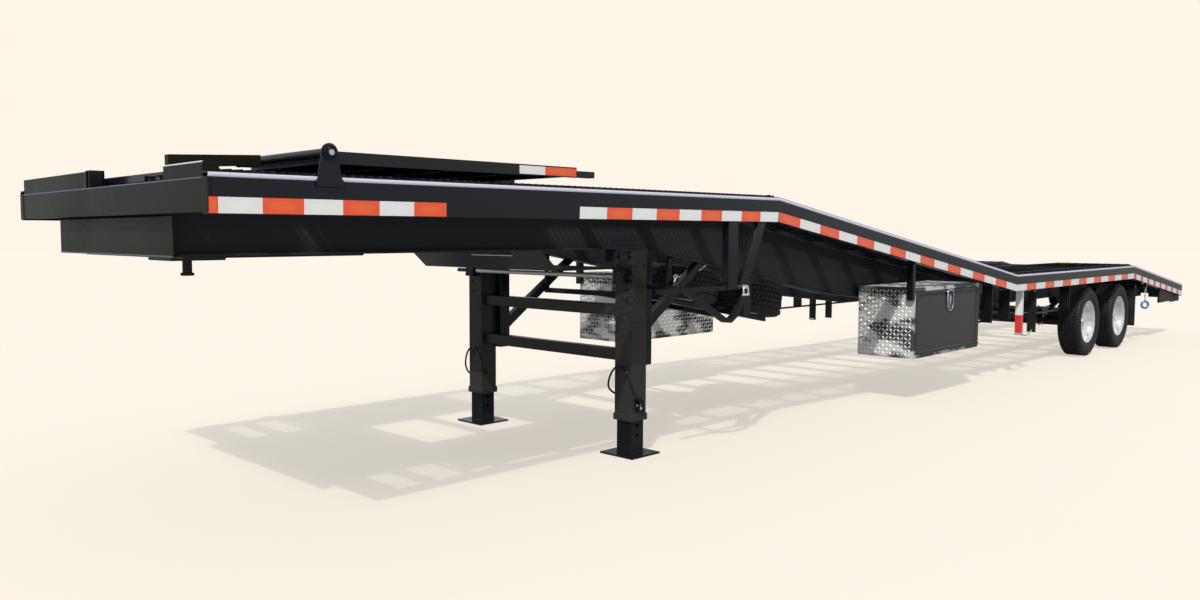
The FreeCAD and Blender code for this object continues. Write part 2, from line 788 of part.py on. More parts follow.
# Side rack below the left rail: a bar back from the leg, a post and a slanted stay up to
# the rail, and a loop of bent flat bar below. (station, z) steps from the bar's rear end.
LOOP = ((-700, -12), (-560, -80), (-400, -165), (-260, -232), (-200, -238), (-140, -205),
        (-80, -130), (-40, -12))
rack_x = "overall_width / 2 - rail_flange + 2"
rail_under = "deck_front - rail_height"


def strip_outline(points, thick):
    """Closed strip about an open path."""
    above = []
    below = []
    for i, (a, b) in enumerate(points):
        before = points[max(i - 1, 0)]
        after = points[min(i + 1, len(points) - 1)]
        da, db = after[0] - before[0], after[1] - before[1]
        size = math.hypot(da, db)
        na, nb = -db / size * thick / 2, da / size * thick / 2
        above.append((a + na, b + nb))
        below.append((a - na, b - nb))
    return above + below[::-1]


def rack_slab(name, points, width):
    """Slab of the side rack. Its points are steps from the bar's rear end, or have a height."""
    outline = [(f"rack_rear + {a}", z if isinstance(z, str) else f"rack_height + {z:.3f}")
               for a, z in points]
    return side_slab(name, outline, rack_x, width)


rack_strut = box("rack_strut", ("leg_x + 50", "leg_station + leg_outer / 2 + 24",
                                "rack_height - 30"),
                 ("overall_width / 2 - rail_flange + 10 - leg_x - 50", "40", "30"))
keep(fuse("side_rack", [
    rack_slab("rack_bar", ((-960, 0), (0, 0), (0, -30), (-960, -30)), "40"),
    rack_slab("rack_post", ((-260, rail_under), (-150, rail_under), (-150, -20), (-260, -20)),
              "50"),
    rack_slab("rack_stay", ((100, rail_under), (200, rail_under), (-20, -20), (-110, -20)), "40"),
    rack_slab("rack_loop", [(f"{a:.3f}", b) for a, b in strip_outline(LOOP, 34)], "40"),
    rack_strut]), "side_rack")

# ----------------------------------------------------------------- toolboxes
def rail_under_slope(station):
    """Height of the side rails' lower edge on the slope."""
    return (f"deck_front - (({station}) - slope_start) * tan({SLOPE})"
            f" - rail_height / cos({SLOPE})")


def toolbox(side):
    """Hollow sheet box with its mouth outboard, its door, its latch and its two posts."""
    name = f"toolbox_{side}"
    front = f"{side}_box_front"
    low = f"{side}_box_low"
    hinge_z = f"{low} + door_margin"

    def across(near, far):
        """Low end in X of a stretch from near to far, outboard of the trailer's middle."""
        return near if side == "left" else f"-1 * ({far})"

    shell = box(name + "_shell", (across("box_inner", "box_outer"), front, low),
                ("box_outer - box_inner", "box_length", "box_height"))
    room = box(name + "_room", (
        across("box_inner + box_wall", "box_outer - box_wall"), f"{front} + box_wall",
        f"{low} + box_wall"),
        ("box_outer - box_inner - 2 * box_wall", "box_length - 2 * box_wall",
         "box_height - 2 * box_wall"))
    mouth = box(name + "_mouth", (
        across("box_outer - 2 * box_wall", "box_outer + box_wall"),
        f"{front} + door_margin", hinge_z),
        ("3 * box_wall", "box_length - 2 * door_margin", "box_height - 2 * door_margin"))
    keep(cut(name, shell, fuse(name + "_space", [room, mouth])), name)

    door_start = f"{front} + door_margin + door_gap"
    door_length = "box_length - 2 * (door_margin + door_gap)"
    door_face = "box_outer - box_wall + door_thick"
    panel = box(name + "_panel", (
        across("box_outer - box_wall", door_face), door_start, hinge_z + " + door_gap"),
        ("door_thick", door_length, "box_height - 2 * (door_margin + door_gap)"))
    barrel = doc.addObject("Part::Cylinder", name + "_barrel")
    turned(barrel, (1, 0, 0), "-90")
    bind(barrel, "Radius", "hinge_radius")
    bind(barrel, "Height", door_length)
    place(barrel, across(door_face + " + hinge_radius", door_face + " + hinge_radius"),
          door_start, hinge_z + " + door_gap + hinge_radius - 2")
    leaf = box(name + "_leaf", (
        across(door_face + " - 1", door_face + " + hinge_radius"), door_start,
        hinge_z + " + door_gap"), ("hinge_radius + 1", door_length, "4"))
    keep(fuse(name + "_door", [panel, barrel, leaf]), name + "_door")
    latch = box(name + "_latch", (
        across(door_face, door_face + " + latch_depth"),
        f"{front} + (box_length - latch_width) / 2",
        f"{low} + box_height - door_margin - door_gap - latch_drop - latch_height"),
        ("latch_depth", "latch_width", "latch_height"))
    keep(latch, name + "_latch")

    posts = []
    post_out = "overall_width / 2 - rail_flange + 15"
    for end, station in (("front", f"{front} - post_width"), ("rear", f"{front} + box_length")):
        posts.append(side_slab(f"{name}_post_{end}", [
            (station, f"{low} + box_height - 110"),
            (f"{station} + post_width", f"{low} + box_height - 110"),
            (f"{station} + post_width", rail_under_slope(f"{station} + post_width")),
            (station, rail_under_slope(station))],
            across("box_outer - post_width", post_out), f"{post_out} - box_outer + post_width"))
    return posts


keep(group("toolbox_posts", toolbox("left") + toolbox("right")), "toolbox_posts")

# ----------------------------------------------------------- axles and wheels
AXLES = (("front", "axle_front"), ("rear", "axle_front + axle_spacing"))
axles = []
for name, station in AXLES:
    tube = cylinder_x("axle_" + name, ("60 - wheel_x", station, "tyre_radius"), "axle_radius",
                      "2 * wheel_x - 120")
    drums = [cylinder_x(f"drum_{name}_{i}", (x, station, "tyre_radius"), "drum_radius",
                        "drum_length")
             for i, x in enumerate(("wheel_x - 110", "-1 * wheel_x + 110 - drum_length"))]
    axles.append(fuse("axle_set_" + name, [tube] + drums))
keep(group("axles", axles), "axles")

# Leaf springs over the axles: steps from the axle as (share of reach, share of arch).
spring_z = "tyre_radius + axle_radius"
SPRING_TOP = ((-1, 1), (-0.9, 1), (-0.42, 0.71), (-0.13, 0.58), (0.13, 0.58), (0.42, 0.71),
              (0.9, 1), (1, 1))
SPRING_UNDER = ((-1, 0.87), (-0.88, 0.85), (-0.42, 0.22), (-0.13, 0), (0.13, 0), (0.42, 0.22),
                (0.88, 0.85), (1, 0.87))
springs = [side_slab("spring_" + name, [
    (f"{station} + {a} * spring_reach", f"{spring_z} + {b} * spring_arch")
    for a, b in SPRING_TOP + SPRING_UNDER[::-1]], "beam_x - 38", "76") for name, station in AXLES]
keep(group("springs", springs + [mirrored(s, s.Name + "_other") for s in springs]), "springs")


def beam_tail_bottom(station):
    """Height of a main beam's lower edge on the tail."""
    return (f"beam_rear_bottom - (({station}) - tail_start) * (beam_rear_bottom"
            " - beam_end_bottom) / (overall_length - beam_end_gap - tail_start)")


def beam_flat_bottom(station):
    """Height of a main beam's lower edge over the axles."""
    return "beam_rear_bottom"


# Hangers from the main beams down to the springs' ends: middle, half width of the foot,
# and the beam's lower edge there.
SPRING_HANGERS = (
    ("front", "axle_front - 0.93 * spring_reach", "60", beam_flat_bottom),
    ("middle", "axle_front + axle_spacing / 2", "(axle_spacing / 2 - spring_reach + 50)",
     beam_flat_bottom),
    ("rear", "axle_front + axle_spacing + 0.93 * spring_reach", "60", beam_tail_bottom),
)
spring_hangers = []
for name, middle, foot, edge in SPRING_HANGERS:
    foot_z = f"{spring_z} + spring_arch"
    front_top = f"{middle} - {foot} - 50"
    rear_top = f"{middle} + {foot} + 50"
    spring_hangers.append(side_slab("spring_hanger_" + name, [
        (front_top, edge(front_top)), (f"{middle} - {foot}", foot_z),
        (f"{middle} + {foot}", foot_z), (rear_top, edge(rear_top))], "beam_x - 45", "90"))
keep(group("spring_hangers", spring_hangers + [mirrored(s, s.Name + "_other")
                                              for s in spring_hangers]), "spring_hangers")

# Brake chambers behind the axles, on a plate each.
chambers = []
for name, station in AXLES:
    for i, x in enumerate(("chamber_x", "-1 * chamber_x")):
        can = doc.addObject("Part::Cylinder", f"chamber_{name}_{i}")
        turned(can, (1, 0, 0), "-90")
        bind(can, "Radius", "chamber_radius")
        bind(can, "Height", "chamber_length")
        bind(can, "Placement.Base.x", x)
        bind(can, "Placement.Base.y", y_at(f"{station} + axle_radius + chamber_behind"))
        bind(can, "Placement.Base.z", "tyre_radius + chamber_rise")
        arm = box(f"chamber_arm_{name}_{i}", (
            f"{x} - chamber_arm / 2", f"{station} + 20", "tyre_radius - 20"),
            ("chamber_arm", "axle_radius + chamber_behind", "chamber_rise + 40"))
        tube_room = cylinder_x(f"chamber_room_{name}_{i}", (
            f"{x} - chamber_arm / 2 - 1", station, "tyre_radius"), "axle_radius",
            "chamber_arm + 2")
        chambers.append(fuse(f"chamber_set_{name}_{i}",
                             [can, cut(f"chamber_foot_{name}_{i}", arm, tube_room)]))
keep(group("brake_chambers", chambers), "brake_chambers")

for side, sign in (("left", 1), ("right", -1)):
    for name, station in AXLES:
        keep(place(tyre_body(f"tyre_{side}_{name}"), f"{sign} * wheel_x", station,
                   "tyre_radius"), f"tyre_{side}_{name}")
        rim = place(rim_body(f"wheel_rim_{side}_{name}", sign), f"{sign} * wheel_x", station,
                    "tyre_radius")
        hub_start = "wheel_x + hub_inner" if sign > 0 else "-1 * wheel_x - hub_inner - hub_length"
        hub = cylinder_x(f"hub_{side}_{name}", (hub_start, station, "tyre_radius"),
                         "hub_radius", "hub_length")
        keep(fuse(f"rim_{side}_{name}", [rim, hub]), f"rim_{side}_{name}")

# ------------------------------------------------------------ tail and flaps
tail_low = "deck_end - rail_height + tail_beam_lift"
tail_rise = f"tail_beam_depth * tan({TAIL})"
tail = side_slab("tail_beam", [
    ("overall_length - tail_beam_depth", f"deck_end - tail_beam_drop + {tail_rise}"),
    ("overall_length", "deck_end - tail_beam_drop"),
    ("overall_length", tail_low),
    ("overall_length - tail_beam_depth", f"{tail_low} + {tail_rise}")],
    "rail_web - overall_width / 2", "overall_width - 2 * rail_web")
keep(tail, "tail_beam")
under_rail = "deck_rear - rail_height"
post = box("marker_post", ("overall_width / 2 - post_inset", "post_start", "post_foot"),
           ("post_side", "post_depth", f"{under_rail} - post_foot"))
both_sides("marker_posts", post)

# A narrow board hangs from each side rail behind its marker post, and a wide flap behind
# the wheels hangs from a bar on the main beam.
flap_x = "wheel_x - flap_inboard"
rear_flap = "axle_front + axle_spacing + tyre_radius + rear_flap_behind"
flap_bar_top = "deck_rear - flap_bar_drop"
board = box("flap_board", ("overall_width / 2 - flap_inset - board_width", "board_start",
                           "post_foot"),
            ("board_width", "flap_thick", f"{under_rail} - post_foot"))
flap_rear = box("flap_rear", (flap_x, rear_flap, "rear_flap_foot"),
                ("flap_width", "flap_thick", f"{flap_bar_top} - rear_flap_foot"))
flap_bar = box("flap_bar", ("beam_x + beam_web / 2", f"{rear_flap} - flap_bar_depth",
                            f"{flap_bar_top} - flap_bar_height"),
               ("wheel_x - flap_inboard + flap_width - beam_x - beam_web / 2", "flap_bar_depth",
                "flap_bar_height"))
keep(group("mud_flaps", [board, mirrored(board, "flap_board_other"), flap_rear,
                         mirrored(flap_rear, "flap_rear_other")]), "mud_flaps")
both_sides("flap_bars", flap_bar)


def tail_under(station, depth):
    """Height at a depth square below the tail's deck line."""
    return f"deck_rear - (({station}) - tail_start) * tan({TAIL}) - ({depth}) / cos({TAIL})"


tail_box_start = "tail_start + tail_box_start"
tail_box_end = "tail_start + tail_box_start + tail_box_length"
tail_box = side_slab("tail_box", [
    (tail_box_start, "tail_box_foot"), (tail_box_end, "tail_box_foot"),
    (tail_box_end, tail_under(tail_box_end, "deck_plate + cross_depth")),
    (tail_box_start, tail_under(tail_box_start, "deck_plate + cross_depth"))],
    "beam_x + beam_flange / 2 + 30", "tail_box_width")
both_sides("tail_boxes", tail_box)
lamp = side_slab("lamp", [
    ("overall_length - lamp_front", f"{tail_low} - lamp_height"),
    ("overall_length - lamp_back", f"{tail_low} - lamp_height"),
    ("overall_length - lamp_back", f"{tail_low} + lamp_back * tan({TAIL})"),
    ("overall_length - lamp_front", f"{tail_low} + lamp_front * tan({TAIL})")],
    "overall_width / 2 - lamp_inset", "lamp_width")
both_sides("tail_lamps", lamp)

# Rods below the side rails behind the left toolbox's place, on flat hangers.
rod_start = "left_box_front + box_length + rod_clear"
rod_x = "overall_width / 2 - 145"
rod = box("under_rod", (rod_x, rod_start, "rod_height - rod_size / 2"),
          ("rod_size", f"rod_end - ({rod_start})", "rod_size"))
rod_hangers = []
for i, (station, top) in enumerate((
        (f"{rod_start} + 230", rail_under_slope(f"{rod_start} + 242")),
        (f"{rod_start} + 680", rail_under_slope(f"{rod_start} + 692")),
        ("rod_end - 12", under_rail))):
    rod_hangers.append(box(f"rod_hanger_{i}", (rod_x, station, "rod_height - rod_size / 2"),
                           ("110", "12", f"{top} - rod_height + rod_size / 2")))
both_sides("under_rail_rods", fuse("under_rail_rod", [rod] + rod_hangers))

# ---------------------------------------------------------------- flip ramps
def ramp_bracket(name, pivot_z, x_from):
    """Upright plate beside a rail with a round head about the ramp's pivot."""
    body = new_body(name)
    pad(body, polygon(body, "YZ_Plane", x_from, stations([
        ("ramp_pivot_station - bracket_half - 4", "deck_front - 35"),
        ("ramp_pivot_station + bracket_half", "deck_front - 35"),
        ("ramp_pivot_station + 42", pivot_z), ("ramp_pivot_station - 42", pivot_z)])),
        "bracket_thick")
    pad(body, circle(body, "YZ_Plane", x_from, (y_at("ramp_pivot_station"), pivot_z), "42"),
        "bracket_thick")
    pocket(body, circle(body, "YZ_Plane", f"{x_from} - 1", (
        y_at("ramp_pivot_station"), pivot_z), "ramp_pin + 1"), "bracket_thick + 2")
    return body


def flip_ramp(name, side, pivot_z):
    """Ramp frame, laid back over the deck, with its pivot pin."""
    turn = "ramp_pivot_station"
    inner, outer = ("ramp_inner", "ramp_outer")
    low_x = inner if side > 0 else f"-1 * {outer}"
    width = f"{outer} - {inner}"
    top = f"{pivot_z} + 16"
    front = f"{turn} + 70"
    rear = f"{front} + ramp_length"
    sides = [box(f"{name}_side_{i}", (x, front, f"{top} - ramp_side"), ("8", "ramp_length",
                                                                        "ramp_side"))
             for i, x in enumerate((low_x, f"{low_x} + {width} - 8"))]
    plate = box(f"{name}_plate", (low_x, front, f"{top} - ramp_plate"),
                (width, "ramp_length", "ramp_plate"))
    bars = [box(f"{name}_bar_{i}", (low_x, f"{front} + {share} * (ramp_length - 40)",
                                    f"{top} - ramp_side + 8"), (width, "40", "ramp_side - 10"))
            for i, share in enumerate((0, 0.25, 0.5, 0.75, 1))]
    arms = [box(f"{name}_arm_{i}", (x, f"{turn}", f"{pivot_z} - 20"), ("12", "75", "36"))
            for i, x in enumerate((low_x, f"{low_x} + {width} - 12"))]
    pin = cylinder_x(f"{name}_pin", (low_x if side > 0 else "-1 * overall_width / 2 - 24", turn,
                                     pivot_z), "ramp_pin",
                     f"overall_width / 2 + 24 - {inner}")
    tails = [box(f"{name}_tail_{i}", (x, rear, f"{top} - ramp_side + 6"), ("40", "180", "36"))
             for i, x in enumerate((f"{low_x} + 30", f"{low_x} + {width} - 70"))]
    keep(fuse(name, sides + [plate] + bars + arms + [pin] + tails), name)


flip_ramp("flip_ramp_left", 1, "ramp_pivot_height")
flip_ramp("flip_ramp_right", -1, "ramp_low_pivot_height")
left_bracket = ramp_bracket("bracket_left", "ramp_pivot_height", "overall_width / 2")
right_bracket = mirrored(ramp_bracket("bracket_right_source", "ramp_low_pivot_height",
                                      "overall_width / 2"), "bracket_right")
keep(group("ramp_brackets", [left_bracket, right_bracket]), "ramp_brackets")
slope_rest = side_slab("slope_rest", [
    ("20", front_high + " + front_stop_height - 1"),
    ("76", front_high + " + front_stop_height - 1"),
    ("ramp_pivot_station - 100", "ramp_pivot_height - 38"),
    ("ramp_pivot_station - 100", "ramp_pivot_height + 10"),
    ("20", front_high + " + front_stop_height + 52")],
    "overall_width / 2 - 480", "40")
keep(group("front_rests", [right_block, fuse("left_rest", [left_stop, slope_rest])]),
     "front_rests")

# ------------------------------------------------------------------- checks
doc.recompute()
for item in doc.Objects:
    if "Invalid" in item.State or "Error" in item.State:
        raise RuntimeError(f"{item.Name}: {item.State}")
for item in nodes:
    if item.Shape.isNull() or not item.Shape.isValid() or not item.Shape.Solids:
        raise RuntimeError(f"{item.Label}: bad shape")

os.makedirs("parts", exist_ok=True)
for item in nodes:
    item.Shape.exportStep(os.path.join("parts", item.Label + ".step"))
    print(item.Label, len(item.Shape.Solids))
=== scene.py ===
"""Looks of a wedge-deck car hauler semi-trailer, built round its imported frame.

Everything is in metres, +Z up, with the nose towards -Y and the trailer's left side towards
+X. A station is a distance behind the front end of the side rails, and most points are given
as (x, station, z).
"""
import json
import logging
import math
from dataclasses import dataclass
from enum import Enum
from typing import Callable, Iterable, Sequence, Union

import bmesh
import bpy
from mathutils import Matrix, Vector


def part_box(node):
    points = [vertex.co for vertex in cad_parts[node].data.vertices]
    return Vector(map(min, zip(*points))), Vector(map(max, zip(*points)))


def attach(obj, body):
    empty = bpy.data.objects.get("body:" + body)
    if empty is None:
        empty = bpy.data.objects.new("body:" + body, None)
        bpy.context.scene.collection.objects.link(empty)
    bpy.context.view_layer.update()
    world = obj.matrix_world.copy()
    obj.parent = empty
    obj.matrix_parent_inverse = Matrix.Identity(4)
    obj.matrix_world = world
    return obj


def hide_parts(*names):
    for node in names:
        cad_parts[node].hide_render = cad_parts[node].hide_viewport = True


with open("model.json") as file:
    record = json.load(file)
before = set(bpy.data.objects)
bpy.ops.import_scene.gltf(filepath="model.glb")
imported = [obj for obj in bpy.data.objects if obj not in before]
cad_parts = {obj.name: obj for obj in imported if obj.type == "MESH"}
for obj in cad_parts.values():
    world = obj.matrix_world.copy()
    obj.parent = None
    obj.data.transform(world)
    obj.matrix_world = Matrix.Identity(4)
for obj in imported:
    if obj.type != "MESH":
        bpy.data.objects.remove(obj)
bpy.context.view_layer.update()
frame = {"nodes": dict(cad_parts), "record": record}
LOG = logging.getLogger("car_hauler")
BODY_OF = {node: body for body, nodes in frame["record"]["behaviour"]["bodies"].items()
           for node in nodes}

Colour = tuple[float, float, float]
Point = tuple[float, float, float]
Outline = Sequence[tuple[float, float]]
Place = Union[float, Colour, "Sock"]
Material = bpy.types.Material
ORIGIN = (0.0, 0.0, 0.0)
SIGNS = (1, -1)


class Side(Enum):
    """A side of the trailer, with the sign of its X."""

    LEFT = 1
    RIGHT = -1

    @property
    def word(self) -> str:
        """Its word in the names of nodes and bodies."""
        return self.name.lower()


class Facing(Enum):
    """The way a bolt stands out, as Euler angles from +Z."""

    LEFT = (0.0, math.pi / 2, 0.0)
    RIGHT = (0.0, -math.pi / 2, 0.0)
    FRONT = (math.pi / 2, 0.0, 0.0)
    BACK = (-math.pi / 2, 0.0, 0.0)
    UP = ORIGIN

    @classmethod
    def out(cls, sign: int) -> "Facing":
        """Outwards on the side with that sign of X."""
        return cls.LEFT if sign > 0 else cls.RIGHT


class Edge(Enum):
    """How far a steel piece's edges are rounded, in metres."""

    NONE = 0.0
    PLATE = 0.002
    TUBE = 0.006
    HEAVY = 0.01


# ---- shader trees
class Sock:
    """One output socket of a shader tree that can stand in arithmetic."""

    def __init__(self, tree: "NodeTree", link: bpy.types.NodeSocket) -> None:
        """Wrap a socket of a tree."""
        self.tree = tree
        self.link = link

    def __add__(self, other: Place) -> "Sock":
        """Sum."""
        return self.tree.math("ADD", self, other)

    __radd__ = __add__

    def __sub__(self, other: Place) -> "Sock":
        """Difference."""
        return self.tree.math("SUBTRACT", self, other)

    def __rsub__(self, other: Place) -> "Sock":
        """Difference from a number."""
        return self.tree.math("SUBTRACT", other, self)

    def __truediv__(self, other: Place) -> "Sock":
        """Quotient."""
        return self.tree.math("DIVIDE", self, other)

    def __rtruediv__(self, other: Place) -> "Sock":
        """A number divided by this."""
        return self.tree.math("DIVIDE", other, self)

    def __mul__(self, other: Place) -> "Sock":
        """Product."""
        return self.tree.math("MULTIPLY", self, other)

    __rmul__ = __mul__

    def also(self, output: int | str) -> "Sock":
        """Another output of the same node."""
        return Sock(self.tree, self.link.node.outputs[output])

    def band(self, low: float, high: float, start: float = 0.0, stop: float = 1.0) -> "Sock":
        """A smooth step from start to stop as the value goes from low to high."""
        return self.tree.add("ShaderNodeMapRange", {"interpolation_type": "SMOOTHSTEP"}, {
            "Value": self, "From Min": low, "From Max": high, "To Min": start, "To Max": stop})


class NodeTree:
    """A node tree that is built a node at a time."""

    def __init__(self, tree: bpy.types.NodeTree) -> None:
        """Take a tree over."""
        self.tree, self.nodes, self.links = tree, tree.nodes, tree.links

    def add(self, kind: str, settings: dict | None = None, inputs: dict | None = None,
            output: int | str = 0) -> Sock:
        """Add one node.

        Args:
            kind: Blender's type name of the node.
            settings: Values that are set first.
            inputs: Numbers, colours or sockets for the node's inputs.
            output: The output that is wanted.

        Returns:
            That output.
        """
        node = self.nodes.new(kind)
        for key, value in (settings or {}).items():
            setattr(node, key, value)
        for key, value in (inputs or {}).items():
            self.feed(node.inputs[key], value)
        return Sock(self, node.outputs[output])

    def feed(self, entry: bpy.types.NodeSocket, value: Place) -> None:
        """Link or set one input.

        Args:
            entry: The input.
            value: A socket, number, vector or colour.
        """
        if isinstance(value, Sock):
            self.links.new(value.link, entry)
        elif isinstance(value, tuple) and entry.type == "RGBA":
            entry.default_value = (*value, 1.0)
        else:
            entry.default_value = value

    def math(self, operation: str, *values: Place) -> Sock:
        """A Math node."""
        return self.add("ShaderNodeMath", {"operation": operation}, dict(enumerate(values)))


class ShaderTree(NodeTree):
    """The tree of a material round its Principled surface, or of a world."""

    def __init__(self, name: str, owner: bpy.types.World | None = None) -> None:
        """Start a tree.

        Args:
            name: Name of the new material, where there is no owner.
            owner: The world whose tree is wanted.
        """
        self.material = owner or bpy.data.materials.new(name)
        self.material.use_nodes = True
        super().__init__(self.material.node_tree)
        self.surface = self.nodes.get("Principled BSDF")

    def paint(self, **values: Place) -> None:
        """Set inputs of the surface; Base_Color stands for Base Color."""
        for key, value in values.items():
            self.feed(self.surface.inputs[key.replace("_", " ")], value)

    def spot(self) -> Sock:
        """The point on the object, in metres."""
        return self.add("ShaderNodeTexCoord", output="Object")

    def stretched(self, scale: Point) -> Sock:
        """The point on the object with each axis scaled."""
        return self.add("ShaderNodeMapping", {"vector_type": "POINT"},
                        {"Vector": self.spot(), "Scale": scale})

    def noise(self, scale: float, detail: float = 2.0, where: Sock | None = None) -> Sock:
        """Fractal noise between 0 and 1."""
        return self.add("ShaderNodeTexNoise", None, {
            "Vector": where or self.spot(), "Scale": scale, "Detail": detail})

    def mix(self, share: Place, first: Place, second: Place) -> Sock:
        """Mix two colours."""
        return self.add("ShaderNodeMix", {"data_type": "RGBA"}, {0: share, 6: first, 7: second},
                        output=2)

    def bump(self, height: Sock, strength: float, distance: float) -> None:
        """Roughen the surface by a height."""
        self.paint(Normal=self.add("ShaderNodeBump", None, {
            "Strength": strength, "Distance": distance, "Height": height}))

    def end(self, surface: Sock) -> None:
        """End the tree in another surface than its own."""
        out = next(node for node in self.nodes if node.type.startswith("OUTPUT"))
        self.links.new(surface.link, out.inputs["Surface"])


def toned(colour: Colour, scale: float, lift: float = 0.0) -> Colour:
    """A colour made darker or paler in even steps."""
    return tuple(scale * part + lift for part in colour)


@dataclass(frozen=True)
class GlossPaint:
    """Sprayed gloss paint with faint orange peel and road dust."""

    name: str
    colour: Colour
    dust: float = 0.25
    roughness: float = 0.24
    peel: float = 0.06
    shine: float = 0.3
    coat: float = 0.08

    def build(self) -> Material:
        """Make the material."""
        tree = ShaderTree(self.name)
        cloud = tree.noise(1.7, 5.0).band(0.42, 0.72)
        fine = tree.noise(38.0, 4.0).band(0.45, 0.75)
        veil = cloud * 0.65 + fine * 0.35
        film = toned(self.colour, 0.85, 0.007)
        tree.paint(Base_Color=tree.mix(veil * self.dust, self.colour, film),
                   Roughness=veil * (0.22 * self.dust + 0.05) + self.roughness,
                   Specular_IOR_Level=self.shine, Coat_Weight=self.coat, Coat_Roughness=0.06)
        tree.bump(tree.noise(260.0, 1.0), self.peel, 0.0008)
        return tree.material


@dataclass(frozen=True)
class RawMetal:
    """Bare or plated metal with fine drawn scratches."""

    name: str
    colour: Colour
    roughness: float
    scratch: float = 0.3
    grain: Point = (12.0, 160.0, 160.0)
    metal: float = 1.0

    def build(self) -> Material:
        """Make the material."""
        tree = ShaderTree(self.name)
        lines = tree.noise(1.0, 4.0, tree.stretched(self.grain))
        cloud = tree.noise(9.0, 3.0)
        dull = toned(self.colour, 0.82)
        tree.paint(Base_Color=tree.mix(cloud.band(0.35, 0.75), self.colour, dull),
                   Roughness=lines * (0.16 * self.scratch) + cloud * 0.06 + self.roughness,
                   Metallic=self.metal)
        tree.bump(lines, 0.1 * self.scratch, 0.0006)
        return tree.material


@dataclass(frozen=True)
class CloudedMetal:
    """Bright plate with painted reflections: broad slanting bands of a darker colour, a little
    rougher, stand in for the dark surroundings that it reflects.
    """

    name: str
    colour: Colour
    # painted reflection: the colour of the dark slanting bands
    dark: Colour
    roughness: float
    broad: Point = (3.0, 3.0, 7.0)

    def build(self) -> Material:
        """Make the material."""
        tree = ShaderTree(self.name)
        # painted reflection: a mask of broad slanting bands for the darker colour
        reflection_bands = tree.noise(1.0, 2.0, tree.stretched(self.broad)).band(0.49, 0.6)
        tree.paint(Base_Color=tree.mix(reflection_bands, self.colour, self.dark), Metallic=0.12,
                   Roughness=reflection_bands * 0.1 + self.roughness)
        tree.bump(tree.noise(240.0, 2.0), 0.1, 0.0005)
        return tree.material


@dataclass(frozen=True)
class Rubber:
    """Black rubber with a grey bloom."""

    name: str
    colour: Colour = (0.011, 0.011, 0.012)
    bloom: Colour = (0.024, 0.024, 0.025)
    grain: float = 420.0

    def build(self) -> Material:
        """Make the material."""
        tree = ShaderTree(self.name)
        patches = tree.noise(6.0, 5.0).band(0.4, 0.78)
        tree.paint(Base_Color=tree.mix(patches * 0.7, self.colour, self.bloom),
                   Roughness=patches * 0.14 + 0.48, Specular_IOR_Level=0.3)
        tree.bump(tree.noise(self.grain, 3.0), 0.25, 0.0005)
        return tree.material


@dataclass(frozen=True)
class ReflectiveTape:
    """Retroreflective sheeting: fine cells under a clear face, paler in the middle."""

    name: str
    colour: Colour
    heart: Colour
    cells: float = 330.0

    def build(self) -> Material:
        """Make the material. UV runs from 0 to 1 over each strip."""
        tree = ShaderTree(self.name)
        cells = tree.add("ShaderNodeTexVoronoi", {"feature": "DISTANCE_TO_EDGE"}, {
            "Vector": tree.spot(), "Scale": self.cells}).band(0.0, 0.09)
        along, up = (tree.add("ShaderNodeSeparateXYZ", None, {0: tree.add("ShaderNodeUVMap")},
                              axis) - 0.5 for axis in (0, 1))
        middle = (along * along * 6.0 + up * up * 7.6).band(0.35, 1.0, 1.0, 0.0)
        shade = tree.mix(middle, self.colour, self.heart)
        tree.paint(Base_Color=tree.mix(cells * 0.75 + 0.25, toned(self.colour, 0.8), shade),
                   Roughness=0.34, Coat_Weight=0.5, Coat_Roughness=0.12)
        tree.bump(cells, 0.12, 0.0003)
        return tree.material


@dataclass(frozen=True)
class Lens:
    """Moulded lamp lens with fine prisms."""

    name: str
    colour: Colour
    prisms: float = 190.0

    def build(self) -> Material:
        """Make the material."""
        tree = ShaderTree(self.name)
        prisms = tree.add("ShaderNodeTexVoronoi", {"feature": "F1"},
                          {"Vector": tree.spot(), "Scale": self.prisms})
        deep = toned(self.colour, 0.45)
        tree.paint(Base_Color=tree.mix(prisms.band(0.1, 0.7), self.colour, deep), Roughness=0.12,
                   Coat_Weight=1.0, Coat_Roughness=0.04)
        tree.bump(prisms, 0.35, 0.0008)
        return tree.material


@dataclass(frozen=True)
class MeshPaint:
    """Paint on expanded metal, with pale bluish, partly metallic patches spread by noise."""

    name: str
    colour: Colour = (0.02, 0.021, 0.026)
    # the pale bluish colour of the patches
    worn: Colour = (0.16, 0.17, 0.2)

    def build(self) -> Material:
        """Make the material."""
        tree = ShaderTree(self.name)
        patch_mask = tree.noise(55.0, 4.0).band(0.54, 0.74) * tree.noise(2.2, 3.0).band(0.35, 0.7)
        tree.paint(Base_Color=tree.mix(patch_mask * 0.6, self.colour, self.worn),
                   Roughness=patch_mask * 0.15 + 0.34, Metallic=patch_mask * 0.4, Coat_Weight=0.3)
        tree.bump(tree.noise(320.0, 2.0), 0.12, 0.0006)
        return tree.material


